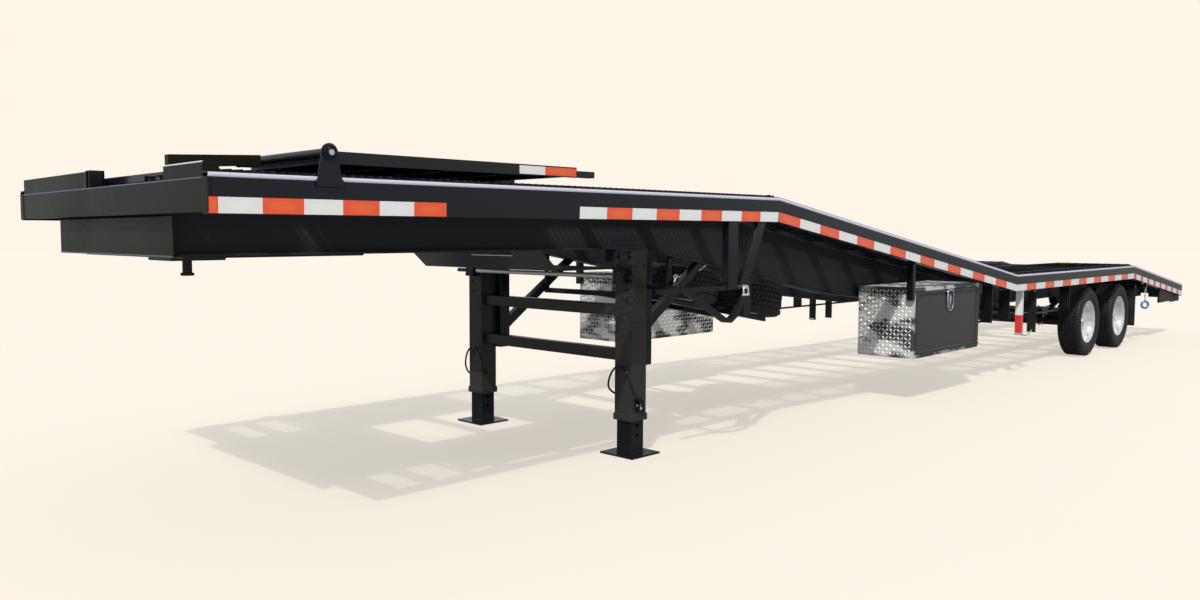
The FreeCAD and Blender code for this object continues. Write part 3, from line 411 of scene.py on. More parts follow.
class Finishes:
    """Every finish of the trailer, made once."""

    def __init__(self) -> None:
        """Build them all."""
        self.black = GlossPaint("gloss_black", (0.006, 0.0068, 0.0096), 0.16, 0.17).build()
        self.web = GlossPaint("web_black", (0.04, 0.042, 0.049), 0.2, 0.36, shine=0.04,
                              coat=0.0).build()
        self.panel = GlossPaint("door_black", (0.056, 0.056, 0.058), 0.1, peel=0.01, shine=0.12,
                                coat=0.0).build()
        # painted light: an olive, lighter copy of the black paint that stands in for sunlight on
        # front faces
        self.nose = GlossPaint("nose_black", (0.013, 0.014, 0.0072), 0.25, 0.32, shine=0.1,
                               coat=0.0).build()
        # painted light: a lighter, warm copy of the black paint for the sunlit look of the legs
        self.leg = GlossPaint("leg_black", (0.034, 0.0325, 0.03), 0.1, 0.26, shine=0.24,
                              coat=0.0).build()
        self.ramp = GlossPaint("ramp_black", (0.011, 0.012, 0.014), 0.4).build()
        # painted highlight: a blue for the sky reflected in folded edges
        self.fold = GlossPaint("fold_edge", (0.075, 0.105, 0.15), 0.2, 0.22).build()
        self.blue = GlossPaint("pipe_blue", (0.03, 0.085, 0.21), 0.3, 0.35).build()
        # painted highlight: a pale lavender for the glint on rounded and folded edges
        self.edge = GlossPaint("edge_strip", (0.72, 0.71, 0.85), 0.1, peel=0.02).build()
        self.ring = RawMetal("tinted_ring", (0.1, 0.33, 0.72), 0.2, metal=0.5).build()
        self.wheel = RawMetal("polished_wheel", (0.95, 0.95, 0.965), 0.07, 0.35,
                              (30.0, 60.0, 60.0), 0.72).build()
        self.chrome = RawMetal("chrome", (0.8, 0.84, 0.9), 0.05, 0.1).build()
        self.zinc = RawMetal("zinc_plate", (0.8, 0.81, 0.82), 0.26, 0.6, metal=0.6).build()
        # tread plate with painted reflections: dark slanting bands in its base colour
        self.tread_plate = CloudedMetal("tread_plate", (0.68, 0.67, 0.64),
                                        (0.065, 0.07, 0.08), 0.34).build()
        # painted highlight: the lugs are near white, far paler than the plate of the same metal,
        # and carry faint painted reflection bands
        self.lug = CloudedMetal("bright_lugs", (0.97, 0.97, 0.95), (0.8, 0.8, 0.8),
                                0.24).build()
        self.orange = ReflectiveTape("tape_orange", (0.97, 0.1, 0.022),
                                     (0.97, 0.15, 0.024)).build()
        self.white = ReflectiveTape("tape_white", (0.93, 0.93, 0.92), (0.97, 0.97, 0.95)).build()
        self.red = ReflectiveTape("tape_red", (0.8, 0.035, 0.035), (0.85, 0.05, 0.04)).build()
        self.tyre = Rubber("tyre_rubber").build()
        self.flap = Rubber("flap_rubber", (0.012, 0.012, 0.013), (0.03, 0.03, 0.03)).build()
        self.plastic = Rubber("black_plastic", (0.014, 0.014, 0.015),
                              (0.022, 0.022, 0.022)).build()
        self.yellow = Rubber("yellow_webbing", (0.85, 0.6, 0.02), (0.75, 0.52, 0.05)).build()
        self.mesh = MeshPaint("expanded_metal").build()
        self.lens = Lens("red_lens", (0.62, 0.012, 0.012)).build()


# ---- the deck line
def place(x: float, station: float, z: float) -> Vector:
    """Point of the model at a station."""
    return Vector((x, station - DeckLine.length / 2, z))


def box_of(node: str) -> tuple[Vector, Vector]:
    """Lowest and highest corner of a node's box."""
    low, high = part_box(node)
    return Vector(low), Vector(high)


@dataclass(frozen=True)
class DeckLine:
    """The bent upper line of the deck, seen from the side."""

    front: float = 1.757
    rear: float = 1.08
    end: float = 0.745
    slope_start: float = 4.2
    slope_end: float = 8.68
    tail_start: float = 12.77
    length: float = 15.24
    half_width: float = 1.295
    rail_height: float = 0.175

    def angles(self) -> tuple[float, float, float, float]:
        """Downward angles of the four runs."""
        slope = math.atan2(self.front - self.rear, self.slope_end - self.slope_start)
        tail = math.atan2(self.rear - self.end, self.length - self.tail_start)
        return (0.0, slope, 0.0, tail)

    def corner(self, i: int, depth: float) -> tuple[float, float]:
        """A corner of the line, moved square below the deck.

        Args:
            i: Number of the corner, 0 at the nose and 4 at the tail's end.
            depth: Depth below the deck.

        Returns:
            Its station and height.
        """
        slope, tail = (self.angles()[run] for run in (1, 3))
        ease = math.tan(slope / 2) * depth
        return (
            (0.0, self.front - depth),
            (self.slope_start - ease, self.front - depth),
            (self.slope_end - ease, self.rear - depth),
            (self.tail_start - math.tan(tail / 2) * depth, self.rear - depth),
            (self.length, self.end - depth / math.cos(tail)),
        )[i]

    def at(self, x: float, run: int, share: float, depth: float) -> Vector:
        """Point a share of the way along one run."""
        (s0, z0), (s1, z1) = self.corner(run, depth), self.corner(run + 1, depth)
        return place(x, s0 + (s1 - s0) * share, z0 + (z1 - z0) * share)

    def height(self, station: float) -> float:
        """Height of the deck.

        Args:
            station: Distance behind the rails' front end.

        Returns:
            The height above the ground.
        """
        for run in range(4):
            (s0, z0), (s1, z1) = self.corner(run, 0.0), self.corner(run + 1, 0.0)
            if station <= s1 or run == 3:
                return z0 + (z1 - z0) * (station - s0) / (s1 - s0)


# ---- mesh making
def shown(name: str, data: bpy.types.ID) -> bpy.types.Object:
    """A new object in the scene."""
    made = bpy.data.objects.new(name, data)
    bpy.context.scene.collection.objects.link(made)
    return made


def plain(piece: bpy.types.Object) -> bpy.types.Mesh:
    """The mesh that an object's modifiers make; they are removed."""
    graph = bpy.context.evaluated_depsgraph_get()
    mesh = bpy.data.meshes.new_from_object(piece.evaluated_get(graph))
    piece.modifiers.clear()
    return mesh


def rounded(piece: bpy.types.Object, width: float) -> bpy.types.Object:
    """Round a piece's hard edges and keep its flat faces flat.

    Args:
        piece: The object.
        width: Width of the rounding in metres.

    Returns:
        The same object, with the rounding in its mesh.
    """
    piece.data.shade_smooth()
    bevel = piece.modifiers.new("edge", "BEVEL")
    bevel.width = width
    bevel.segments = 2
    bevel.limit_method = "ANGLE"
    bevel.angle_limit = math.radians(32.0)
    bevel.use_clamp_overlap = True
    bevel.miter_outer = "MITER_ARC"
    piece.modifiers.new("flat", "WEIGHTED_NORMAL").weight = 60
    old, piece.data = piece.data, plain(piece)
    bpy.data.meshes.remove(old)
    piece.data.name = piece.name
    return piece


class Stock:
    """A mesh that is put together in place."""

    def __init__(self) -> None:
        """Start empty."""
        self.bm = bmesh.new()

    def rings(self, rings: Sequence[Sequence[Vector]], joined: bool = False) -> None:
        """Skin a row of rings of points.

        Args:
            rings: Rings with one number of points each.
            joined: True joins the last ring to the first; otherwise both ends are capped.
        """
        rows = [[self.bm.verts.new(p) for p in ring] for ring in rings]
        for near, far in list(zip(rows, rows[1:])) + ([(rows[-1], rows[0])] if joined else []):
            for i in range(len(near)):
                k = (i + 1) % len(near)
                self.bm.faces.new((near[i], near[k], far[k], far[i]))
        if not joined:
            self.bm.faces.new(rows[0][::-1])
            self.bm.faces.new(rows[-1])

    def block(self, low: Point, high: Point) -> None:
        """A box between two corners given with stations, in either order of x."""
        (a, b, c), (d, e, f) = place(*low), place(*high)
        a, d = sorted((a, d))
        self.rings([[Vector((x, y, z)) for x, y in ((a, b), (d, b), (d, e), (a, e))]
                    for z in (c, f)])

    def slab(self, outline: Sequence[Point], push: Point) -> None:
        """A flat outline pushed along a vector."""
        base = [Vector(p) for p in outline]
        self.rings([base, [p + Vector(push) for p in base]])

    def plate(self, outline: Sequence[Point], push: Point) -> None:
        """A slab whose outline is given with stations."""
        self.slab([place(*p) for p in outline], push)

    def tube(self, path: Sequence[Point], radius: float, sides: int = 12) -> None:
        """A round bar along a path.

        Args:
            path: Points of the bar's middle line.
            radius: Radius in metres.
            sides: Sides of the bar.
        """
        points = [Vector(p) for p in path]
        across = (points[1] - points[0]).orthogonal().normalized()
        rings = []
        for i, point in enumerate(points):
            ahead = (points[min(i + 1, len(points) - 1)] - points[max(i - 1, 0)]).normalized()
            across = (across - ahead * across.dot(ahead)).normalized()
            side = ahead.cross(across)
            rings.append([point + radius * (across * math.cos(a) + side * math.sin(a))
                          for a in (2 * math.pi * k / sides for k in range(sides))])
        self.rings(rings)

    def pipe(self, path: Sequence[Point], radius: float, sides: int = 12) -> None:
        """A round bar along a path given with stations."""
        self.tube([place(*p) for p in path], radius, sides)

    def lathe(self, profile: Outline, centre: Point = ORIGIN, steps: int = 96,
              axis: Point = (1.0, 0.0, 0.0)) -> None:
        """Turn an outline about an axis into a closed ring or disc.

        Args:
            profile: Closed outline as (along, radius); a radius of 0 makes a pole.
            centre: Point on the axis where along is 0.
            steps: Steps round the axis.
            axis: Direction of the axis.
        """
        along = Vector(axis).normalized()
        first = along.orthogonal().normalized()
        second = along.cross(first)
        spin = [first * math.cos(a) + second * math.sin(a)
                for a in (2 * math.pi * k / steps for k in range(steps))]
        rows = []
        for x, radius in profile:
            base = Vector(centre) + along * x
            rows.append([self.bm.verts.new(base + way * radius)
                         for way in (spin if radius else spin[:1])])
        for near, far in zip(rows, rows[1:] + rows[:1]):
            if len(near) == 1 and len(far) == 1:
                continue
            for k in range(steps):
                m = (k + 1) % steps
                corners = [near[k % len(near)], near[m % len(near)], far[m % len(far)],
                           far[k % len(far)]]
                self.bm.faces.new(list(dict.fromkeys(corners)))

    def take(self, mesh: bpy.types.Mesh, where: Matrix | None = None) -> None:
        """Move the shape of a mesh in here, with whatever object held it."""
        if where:
            mesh.transform(where)
        self.bm.from_mesh(mesh)
        bpy.data.meshes.remove(mesh)

    def move(self, way: Vector) -> None:
        """Move everything so far along a vector."""
        bmesh.ops.translate(self.bm, verts=self.bm.verts[:], vec=way)

    def mirror_x(self) -> None:
        """Add the same shapes on the other side of the trailer."""
        everything = self.bm.verts[:] + self.bm.edges[:] + self.bm.faces[:]
        for item in bmesh.ops.duplicate(self.bm, geom=everything)["geom"]:
            if isinstance(item, bmesh.types.BMVert):
                item.co.x = -item.co.x

    def piece(self, name: str, finish: Material, smooth: float = 35.0, edge: float = 0.0,
              outward: bool = True) -> bpy.types.Object:
        """Close the mesh off as an object.

        Args:
            name: Name of the piece.
            finish: Its material.
            smooth: Edges sharper than this many degrees stay sharp.
            edge: Rounding of its hard edges in metres; 0 leaves them.
            outward: Whether the faces are turned outwards first.

        Returns:
            The new object.
        """
        if outward:
            bmesh.ops.recalc_face_normals(self.bm, faces=self.bm.faces[:])
        mesh = bpy.data.meshes.new(name)
        self.bm.to_mesh(mesh)
        self.bm.free()
        mesh.materials.append(finish)
        made = shown(name, mesh)
        if edge:
            return rounded(made, edge)
        mesh.shade_smooth()
        mesh.set_sharp_from_angle(angle=math.radians(smooth))
        return made

    def lay(self, name: str, finish: Material, slot: str = "", body: str = "frame",
            instead: Iterable[str] = (), **shape: float) -> None:
        """Close the mesh off as a piece of the trailer.

        Args:
            name: Name of the piece.
            finish: Its material.
            slot: The record's material slot, or nothing; not used.
            body: The body that it rides on.
            instead: Nodes that it stands for.
            **shape: What piece() takes of smooth, edge and outward.
        """
        made = self.piece(name, finish, **shape)
        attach(made, body)
        if instead:
            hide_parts(*instead)
        LOG.info("%s on %s, %d faces", name, body, len(made.data.polygons))


class Strips(Stock):
    """Thin strips of tape, each with a UV square of its own."""

    THICK = 0.001

    def __init__(self) -> None:
        """Start empty, with a UV map."""
        super().__init__()
        self.uv = self.bm.loops.layers.uv.new("UVMap")

    def strip(self, start: float, stop: float, low: float, high: float,
             across: Callable[[float, float], Vector], out: Point) -> None:
        """Lay a strip on a flat face.

        Args:
            start: Where it begins along the face.
            stop: Where it ends.
            low: Its lower edge.
            high: Its upper edge.
            across: The point of the face for a place along it and a height.
            out: Direction away from the face.
        """
        self.slab([across(start, high), across(stop, high), across(stop, low),
                   across(start, low)], Vector(out) * self.THICK)
        for face in list(self.bm.faces)[-6:]:
            for loop, spot in zip(face.loops, ((0, 1), (1, 1), (1, 0), (0, 0))):
                loop[self.uv].uv = spot


MERGE = 2e-5
FLAT = math.radians(0.8)


def copied(node: str) -> Stock:
    """A node's shape, its triangles merged into flat faces.

    Args:
        node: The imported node.

    Returns:
        The shape, ready to finish.
    """
    stock = Stock()
    stock.bm.from_mesh(frame["nodes"][node].data)
    bmesh.ops.remove_doubles(stock.bm, verts=stock.bm.verts[:], dist=MERGE)
    bmesh.ops.dissolve_limit(stock.bm, angle_limit=FLAT, verts=stock.bm.verts[:],
                             edges=stock.bm.edges[:])
    return stock


def steel(node: str, edge: Edge, finish: Material) -> None:
    """Dress a steel node as itself, with rounded edges and paint."""
    copied(node).lay(f"{node}_steel", finish, "black_paint", BODY_OF[node], [node],
                     edge=edge.value, outward=False)


# ---- Geometry Nodes
class GrowTree(NodeTree):
    """A Geometry Nodes tree that puts copies of a cell somewhere."""

    def __init__(self, name: str, **sizes: str) -> None:
        """Start a tree, which always has the inputs Cell and Finish.

        Args:
            name: Name of the tree.
            **sizes: Its other inputs with their kinds, such as Float.
        """
        super().__init__(bpy.data.node_groups.new(name, "GeometryNodeTree"))
        self.keys = {}
        for size, kind in {"Geometry": "Geometry", "Cell": "Object", "Finish": "Material",
                           **sizes}.items():
            self.keys[size] = self.tree.interface.new_socket(
                name=size, in_out="INPUT", socket_type=f"NodeSocket{kind}").identifier
        self.tree.interface.new_socket(name="Geometry", in_out="OUTPUT",
                                       socket_type="NodeSocketGeometry")
        self.entry = self.nodes.new("NodeGroupInput")

    def size(self, name: str) -> Sock:
        """The socket of a named input."""
        return Sock(self, self.entry.outputs[name])

    def turn(self, **angles: Sock) -> Sock:
        """A rotation by angles about X, Y and Z."""
        return self.add("FunctionNodeEulerToRotation", None,
                        {0: self.add("ShaderNodeCombineXYZ", None, angles)})

    def plant(self, points: Sock, rotation: Sock) -> Sock:
        """Put a copy of the cell on each point."""
        cell = self.add("GeometryNodeObjectInfo", None, {0: self.size("Cell")}, "Geometry")
        return self.add("GeometryNodeInstanceOnPoints", None,
                        {"Points": points, "Instance": cell, "Rotation": rotation})

    def close(self, instances: Sock) -> "GrowTree":
        """End the tree in Realize Instances and Set Material.

        Args:
            instances: The copies.

        Returns:
            This tree.
        """
        real = self.add("GeometryNodeRealizeInstances", None, {0: instances})
        done = self.add("GeometryNodeSetMaterial", None,
                        {0: real, "Material": self.size("Finish")})
        self.links.new(done.link, self.nodes.new("NodeGroupOutput").inputs[0])
        return self

    def grow(self, make: Callable[[Stock], None], finish: Material,
             base: bpy.types.Object | None = None, **sizes: float) -> bpy.types.Mesh:
        """Run the tree.

        Args:
            make: Draws the shape that is repeated.
            finish: Its material.
            base: The points or the line that it goes on, where the tree needs them.
            **sizes: Values of the other inputs.

        Returns:
            The plain mesh.
        """
        shape = Stock()
        make(shape)
        cell, base = shape.piece("cell", finish), base or loose()
        run = base.modifiers.new("grow", "NODES")
        run.node_group = self.tree
        for name, value in {"Cell": cell, "Finish": finish, **sizes}.items():
            run[self.keys[name]] = value
        grown = plain(base)
        bpy.data.objects.remove(base)
        bpy.data.objects.remove(cell)
        return grown


class Growers:
    """The trees that this trailer uses."""

    # keeps the count of diagonal steps positive and off whole numbers
    SHIFT = 1000.25

    def __init__(self) -> None:
        """Build each tree once."""
        self.path = self._path_tree()
        self.ring = self._ring_tree()
        self.spots = self._spot_tree()
        self.lattice = self._lattice_tree()

    @staticmethod
    def _path_tree() -> GrowTree:
        """Cells at even steps along a line, turned to follow it."""
        tree = GrowTree("cells_along_line", Pitch="Float", Roll="Float")
        line = tree.add("GeometryNodeMeshToCurve", None, {0: tree.size("Geometry")})
        points = tree.add("GeometryNodeCurveToPoints", {"mode": "LENGTH"},
                          {"Curve": line, "Length": tree.size("Pitch")}, "Points")
        copies = tree.plant(points, points.also("Rotation"))
        roll = tree.add("GeometryNodeInputIndex") * tree.size("Roll")
        return tree.close(tree.add("GeometryNodeRotateInstances", None,
                                   {0: copies, "Rotation": tree.turn(Z=roll)}))

    @staticmethod
    def _ring_tree() -> GrowTree:
        """Cells evenly round the X axis, each turned with its place."""
        tree = GrowTree("cells_round_axle", Count="Int", Radius="Float")
        points = tree.add("GeometryNodePoints", None, {"Count": tree.size("Count")})
        angle = tree.add("GeometryNodeInputIndex") * (2 * math.pi / tree.size("Count"))
        y, z = (tree.math(wave, angle) * tree.size("Radius") for wave in ("SINE", "COSINE"))
        moved = tree.add("GeometryNodeSetPosition", None, {
            0: points, "Position": tree.add("ShaderNodeCombineXYZ", None, {"Y": y, "Z": z})})
        return tree.close(tree.plant(moved, tree.turn(X=angle * -1.0)))

    @staticmethod
    def _spot_tree() -> GrowTree:
        """A cell on each point of a mesh, turned by the point's own "turn"."""
        tree = GrowTree("cells_on_spots")
        turn = tree.add("GeometryNodeInputNamedAttribute", {"data_type": "FLOAT_VECTOR"},
                        {"Name": "turn"})
        spin = tree.add("FunctionNodeEulerToRotation", None, {0: turn})
        return tree.close(tree.plant(tree.size("Geometry"), spin))

    @classmethod
    def _lattice_tree(cls) -> GrowTree:
        """Cells over a flat field in the XY plane, turned to and fro like tread plate."""
        tree = GrowTree("cells_on_plate", Across="Float", Up="Float", Pitch="Float")
        pitch = tree.size("Pitch")
        grid = {}
        for axis, side in (("X", "Across"), ("Y", "Up")):
            cells = tree.math("FLOOR", tree.size(side) / pitch)
            grid[f"Vertices {axis}"] = cells
            grid[f"Size {axis}"] = (cells - 1.0) * pitch
        field = tree.add("GeometryNodeMeshGrid", None, grid, "Mesh")
        x = tree.add("ShaderNodeSeparateXYZ", None, {0: tree.add("GeometryNodeInputPosition")})
        steps = (x + x.also(1)) / pitch + cls.SHIFT
        odd = tree.math("MODULO", tree.math("FLOOR", steps), 2.0)
        angle = tree.math("MULTIPLY_ADD", odd, math.pi / 2, math.pi / 4)
        return tree.close(tree.plant(field, tree.turn(Z=angle)))


def loose(points: Sequence[Point] = (ORIGIN,), linked: bool = False,
          turns: Sequence[Point] = ()) -> bpy.types.Object:
    """A helper object of points, joined in a row or loose.

    Args:
        points: Its points.
        linked: Whether edges join them in order.
        turns: Euler angles for each point, kept as "turn".

    Returns:
        The object.
    """
    mesh = bpy.data.meshes.new("points")
    edges = [(i, i + 1) for i in range(len(points) - 1)] if linked else []
    mesh.from_pydata([tuple(p) for p in points], edges, [])
    if turns:
        held = mesh.attributes.new("turn", "FLOAT_VECTOR", "POINT")
        for item, turn in zip(held.data, turns):
            item.vector = turn
    return shown("points", mesh)



# ---- steelwork
@dataclass
class Steelwork:
    """Frame members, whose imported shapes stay, with rounded edges and paint."""

    paint: Finishes
    members: tuple[str, ...] = (
        "side_rail_left", "side_rail_right", "main_beam_left", "main_beam_right",
        "crossmembers", "runway_curbs", "coupler", "leg_outer_tubes", "leg_inner_left",
        "leg_inner_right", "leg_cross_tubes", "leg_braces", "leg_bolster", "crank_shaft",
        "spare_cradle", "spare_hangers", "side_rack", "toolbox_posts", "axles",
        "spring_hangers", "tail_beam", "flap_bars", "tail_boxes", "under_rail_rods",
        "ramp_brackets", "front_cross_beam", "front_lower_panel", "front_rests")
    tubes: tuple[str, ...] = ("leg_outer_tubes", "leg_braces", "spare_cradle", "side_rack",
                              "toolbox_posts")

    def build(self) -> None:
        """Dress every member."""
        edges = {"leg_cross_tubes": Edge.HEAVY, **dict.fromkeys(self.tubes, Edge.TUBE)}
        paints = {
            **dict.fromkeys(("main_beam_left", "main_beam_right"), self.paint.web),
            # the leg tubes take the painted lit black
            **dict.fromkeys(("leg_outer_tubes", "leg_cross_tubes"), self.paint.leg),
            # the nose members take the painted sunlit olive black
            **dict.fromkeys(self.members[-3:], self.paint.nose)}
        for node in self.members:
            steel(node, edges.get(node, Edge.PLATE), paints.get(node, self.paint.black))


# ---- rail trim
@dataclass
class RailTrim:
    """A bead along each rail's top edge, in pale paint as a painted highlight, and tape along its
    side.
    """

    paint: Finishes
    deck: DeckLine
    bead: float = 0.0095
    bead_drop: float = 0.0135
    bead_bulge: float = 0.0035
    bead_root: float = 0.002
    bead_steps: int = 8
    tape_top: float = 0.104
    tape_foot: float = 0.1715
    # run of the deck line, start and stop (metres on the flat nose, else shares of the run),
    # number of strips, whether the first is white
    runs: tuple[tuple[int, float, float, int, bool], ...] = (
        (0, 0.0, 0.04, 1, False), (0, 0.04, 1.221, 6, True), (0, 2.17, 4.19, 9, True),
        (1, 0.0, 1.0, 16, False), (2, 0.0, 1.0, 15, True))
    tail_pairs: int = 8
    tail_red_share: float = 0.34

    def beads(self) -> None:
        """The low rounded bead, mitred at the bends; its pale finish is a painted highlight."""
        x = self.deck.half_width
        section = [(x + self.bead_bulge * math.sin(a), self.bead_drop - self.bead * math.cos(a))
                   for a in (math.pi * i / self.bead_steps for i in range(self.bead_steps + 1))]
        section += [(x - self.bead_root, self.bead_drop + self.bead),
                    (x - self.bead_root, self.bead_drop - self.bead)]
        stock = Stock()
        stock.rings([[place(across, *self.deck.corner(i, down)) for across, down in section]
                     for i in range(5)])
        stock.mirror_x()
        stock.lay("rail_beads", self.paint.edge, "wheel_aluminium")

    def strips(self) -> dict[str, list[tuple[int, float, float]]]:
        """Strips of each colour as (run, first share, last share)."""
        made: dict[str, list[tuple[int, float, float]]] = {"orange": [], "white": [], "red": []}
        for run, start, stop, count, white in self.runs:
            whole = 1.0 if run else self.deck.slope_start
            for i in range(count):
                colour = "white" if (i % 2 == 0) == white else "orange"
                ends = [(start + (stop - start) * k / count) / whole for k in (i, i + 1)]
                made[colour].append((run, *ends))
        for i in range(self.tail_pairs):
            begin = i / self.tail_pairs
            middle = begin + self.tail_red_share / self.tail_pairs
            made["red"].append((3, begin, middle))
            made["white"].append((3, middle, (i + 1) / self.tail_pairs))
        return made

    def tape(self) -> None:
        """One piece of strips for each colour, on both rails."""
        for colour, strips in self.strips().items():
            laid = Strips()
            for sign in SIGNS:
                x = sign * self.deck.half_width
                for run, start, stop in strips:
                    laid.strip(start, stop, self.tape_foot, self.tape_top,
                              lambda share, depth: self.deck.at(x, run, share, depth),
                              (sign, 0, 0))
            laid.lay(f"rail_tape_{colour}", getattr(self.paint, colour))

    def build(self) -> None:
        """Make the trim."""
        self.beads()
        self.tape()


# ---- runways
@dataclass
class Runways:
    """Expanded metal sheets of the two runways."""

    paint: Finishes
    growers: Growers
    deck: DeckLine
    long_way: float = 0.119
    short_way: float = 0.05
    strand: float = 0.0075
    crest: float = 0.8
    lean: float = -0.013
    foot: float = -0.0045
    rise: float = 0.016
    side_gap: float = 0.006
    front_gap: float = 0.02
    rear_gap: float = 0.03

    def _strand(self, stock: Stock, start: Vector, stop: Vector) -> None:
        """One leaning strand between two bonds; x runs across and y along the deck."""
        rings = []
        for end in (start, stop):
            low = Vector((end.x, end.y - self.strand / 2 - self.lean / 2, self.foot))
            high = Vector((end.x, end.y - self.strand / 2 + self.lean / 2, self.rise))
            rings.append([low, low + Vector((0, self.strand, 0)),
                          high + Vector((0, self.strand * self.crest, 0)), high])
        stock.rings(rings)

    def _strip(self, stock: Stock, width: float) -> None:
        """One pitch of mesh over a runway's whole width, about the line's own axes."""
        bonds = int(width / (self.long_way / 2))
        reach = width / bonds
        for row in range(2):
            for i in range(row, bonds, 2):
                here = Vector((i * reach - width / 2, row * self.short_way / 2, 0))
                for turn in SIGNS:
                    step = Vector((reach, turn * self.short_way / 2, 0))
                    self._strand(stock, here, here + step)
                    if i:
                        self._strand(stock, here - step, here)
        for vert in stock.bm.verts:
            across, along, up = vert.co
            vert.co = (across, -up, along)

    def build(self) -> None:
        """Grow each runway's sheets along the deck line."""
        for side in Side:
            node = f"runway_{side.word}"
            low, high = box_of(node)
            middle, width = (low.x + high.x) / 2, high.x - low.x - self.side_gap
            stock = Stock()
            for run in range(4):
                ends = [self.deck.at(middle, run, share, 0.0) for share in (0.0, 1.0)]
                ends[0].y = max(ends[0].y, low.y + self.front_gap)
                ends[1].y = min(ends[1].y, high.y - self.rear_gap)
                for end in ends:
                    end.z = self.deck.height(end.y + self.deck.length / 2)
                stock.take(self.growers.path.grow(
                    lambda strip: self._strip(strip, width), self.paint.mesh,
                    loose(ends, linked=True), Pitch=self.short_way, Roll=0.0))
            stock.lay(f"{node}_mesh", self.paint.mesh, "deck_mesh", instead=[node], smooth=30)


# ---- wheels
@dataclass
class Wheel:
    """A ribbed highway tyre on a polished disc wheel, about the X axis."""

    paint: Finishes
    growers: Growers
    radius: float = 0.419
    bead: float = 0.2625
    groove: float = 0.013
    sipe: float = 0.0028
    stagger: float = 0.37
    blocks: int = 64
    # middle, width and wave of each rib
    ribs: tuple[Point, ...] = (
        (-0.083, 0.031, 0.0), (-0.041, 0.028, 0.005), (0.0, 0.028, 0.005),
        (0.041, 0.028, 0.005), (0.083, 0.031, 0.0))
    # outlines as (along the axle, radius)
    dish: Outline = (
        (-0.105, 0.262), (-0.105, 0.2535), (-0.098, 0.2475), (-0.088, 0.244), (-0.07, 0.231),
        (0.004, 0.2235), (0.01, 0.215), (0.014, 0.196), (0.008, 0.15), (0.006, 0.118),
        (0.006, 0.054), (0.018, 0.054), (0.018, 0.112), (0.021, 0.124), (0.0245, 0.15),
        (0.03, 0.186), (0.0335, 0.2), (0.038, 0.2095), (0.0455, 0.2165), (0.056, 0.2205),
        (0.078, 0.2255), (0.088, 0.23), (0.0945, 0.237), (0.0975, 0.245), (0.1015, 0.248),
        (0.1055, 0.25), (0.1075, 0.254), (0.1065, 0.259), (0.103, 0.262))
    cap: Outline = ((-0.008, 0.0), (-0.008, 0.054), (0.03, 0.054), (0.034, 0.05),
                    (0.048, 0.047), (0.054, 0.043), (0.057, 0.036), (0.058, 0.0))
    # sides and outline of a nut's seat, of the nut and of its stud
    nut: tuple[tuple[int, Outline], ...] = (
        (20, ((0.012, 0.0), (0.012, 0.0165), (0.022, 0.0165), (0.022, 0.0))),
        (6, ((0.02, 0.0), (0.02, 0.0138), (0.041, 0.0138), (0.044, 0.011), (0.044, 0.0))),
        (12, ((0.042, 0.0), (0.042, 0.0072), (0.052, 0.0072), (0.053, 0.0))))
    stud_count: int = 8
    stud_circle: float = 0.082

    def carcass(self) -> Outline:
        """Outline of the tyre below its ribs, as (along the axle, radius)."""
        base = self.radius - self.groove
        side = [(0.099, self.bead), (0.112, self.bead + 0.006), (0.1135, self.bead + 0.016),
                (0.1165, self.bead + 0.022), (0.1205, 0.318), (0.1238, 0.34), (0.124, 0.35),
                (0.1226, 0.358), (0.1234, 0.3605), (0.1226, 0.363), (0.12, 0.381),
                (0.114, 0.396), (0.1075, base - 0.004), (0.0995, base)]
        return [(-x, r) for x, r in side] + side[::-1]

    def _block(self, shape: Stock, half: float, wave: float, reach: float) -> None:
        """One tread block, with a wavy side and a worn shoulder."""
        outline = [(-half, -reach), (half, -reach), (half + wave, 0), (half, reach),
                   (-half, reach), (-half + wave, 0)]
        shape.rings([[Vector((x * scale, y * scale, z)) for x, y in outline]
                     for scale, z in ((1.06, -self.groove - 0.002), (1.0, -0.0016),
                                      (0.94, 0.0))])

    def tyre(self) -> Stock:
        """Carcass with five ribs of sipe-cut blocks."""
        stock = Stock()
        stock.lathe(self.carcass())
        pitch = 2 * math.pi * self.radius / self.blocks
        for k, (x, width, wave) in enumerate(self.ribs):
            rib = self.growers.ring.grow(
                lambda shape: self._block(shape, width / 2, wave, pitch / 2 - self.sipe),
                self.paint.tyre, Count=self.blocks, Radius=self.radius)
            stock.take(rib, Matrix.Rotation(k * self.stagger * pitch / self.radius, 4, "X")
                       @ Matrix.Translation((x, 0, 0)))
        return stock

    def rim(self, sign: int) -> Stock:
        """Polished deep wheel with its hub cap and nuts, open towards that sign of X."""
        def turned(stock: Stock, outline: Outline, steps: int) -> None:
            """Lathe an outline that faces that way."""
            stock.lathe([(sign * x, r) for x, r in outline], steps=steps)

        def nut(stock: Stock) -> None:
            """A wheel nut on its stud."""
            for sides, outline in self.nut:
                turned(stock, outline, sides)

        made = Stock()
        turned(made, self.dish, 128)
        turned(made, self.cap, 64)
        made.take(self.growers.ring.grow(nut, self.paint.wheel, Count=self.stud_count,
                                         Radius=self.stud_circle))
        return made

    def build(self) -> None:
        """The four running wheels."""
        for side in Side:
            for end in ("front", "rear"):
                which = f"{side.word}_{end}"
                low, high = box_of(f"tyre_{which}")
                for node, word, stock, finish, slot, smooth in (
                        (f"tyre_{which}", "ribbed", self.tyre(), self.paint.tyre,
                         "tyre_rubber", 28),
                        (f"rim_{which}", "polished", self.rim(side.value), self.paint.wheel,
                         "wheel_aluminium", 24)):
                    stock.move((low + high) / 2)
                    stock.lay(f"{node}_{word}", finish, slot, f"wheel_{which}", [node],
                              smooth=smooth)


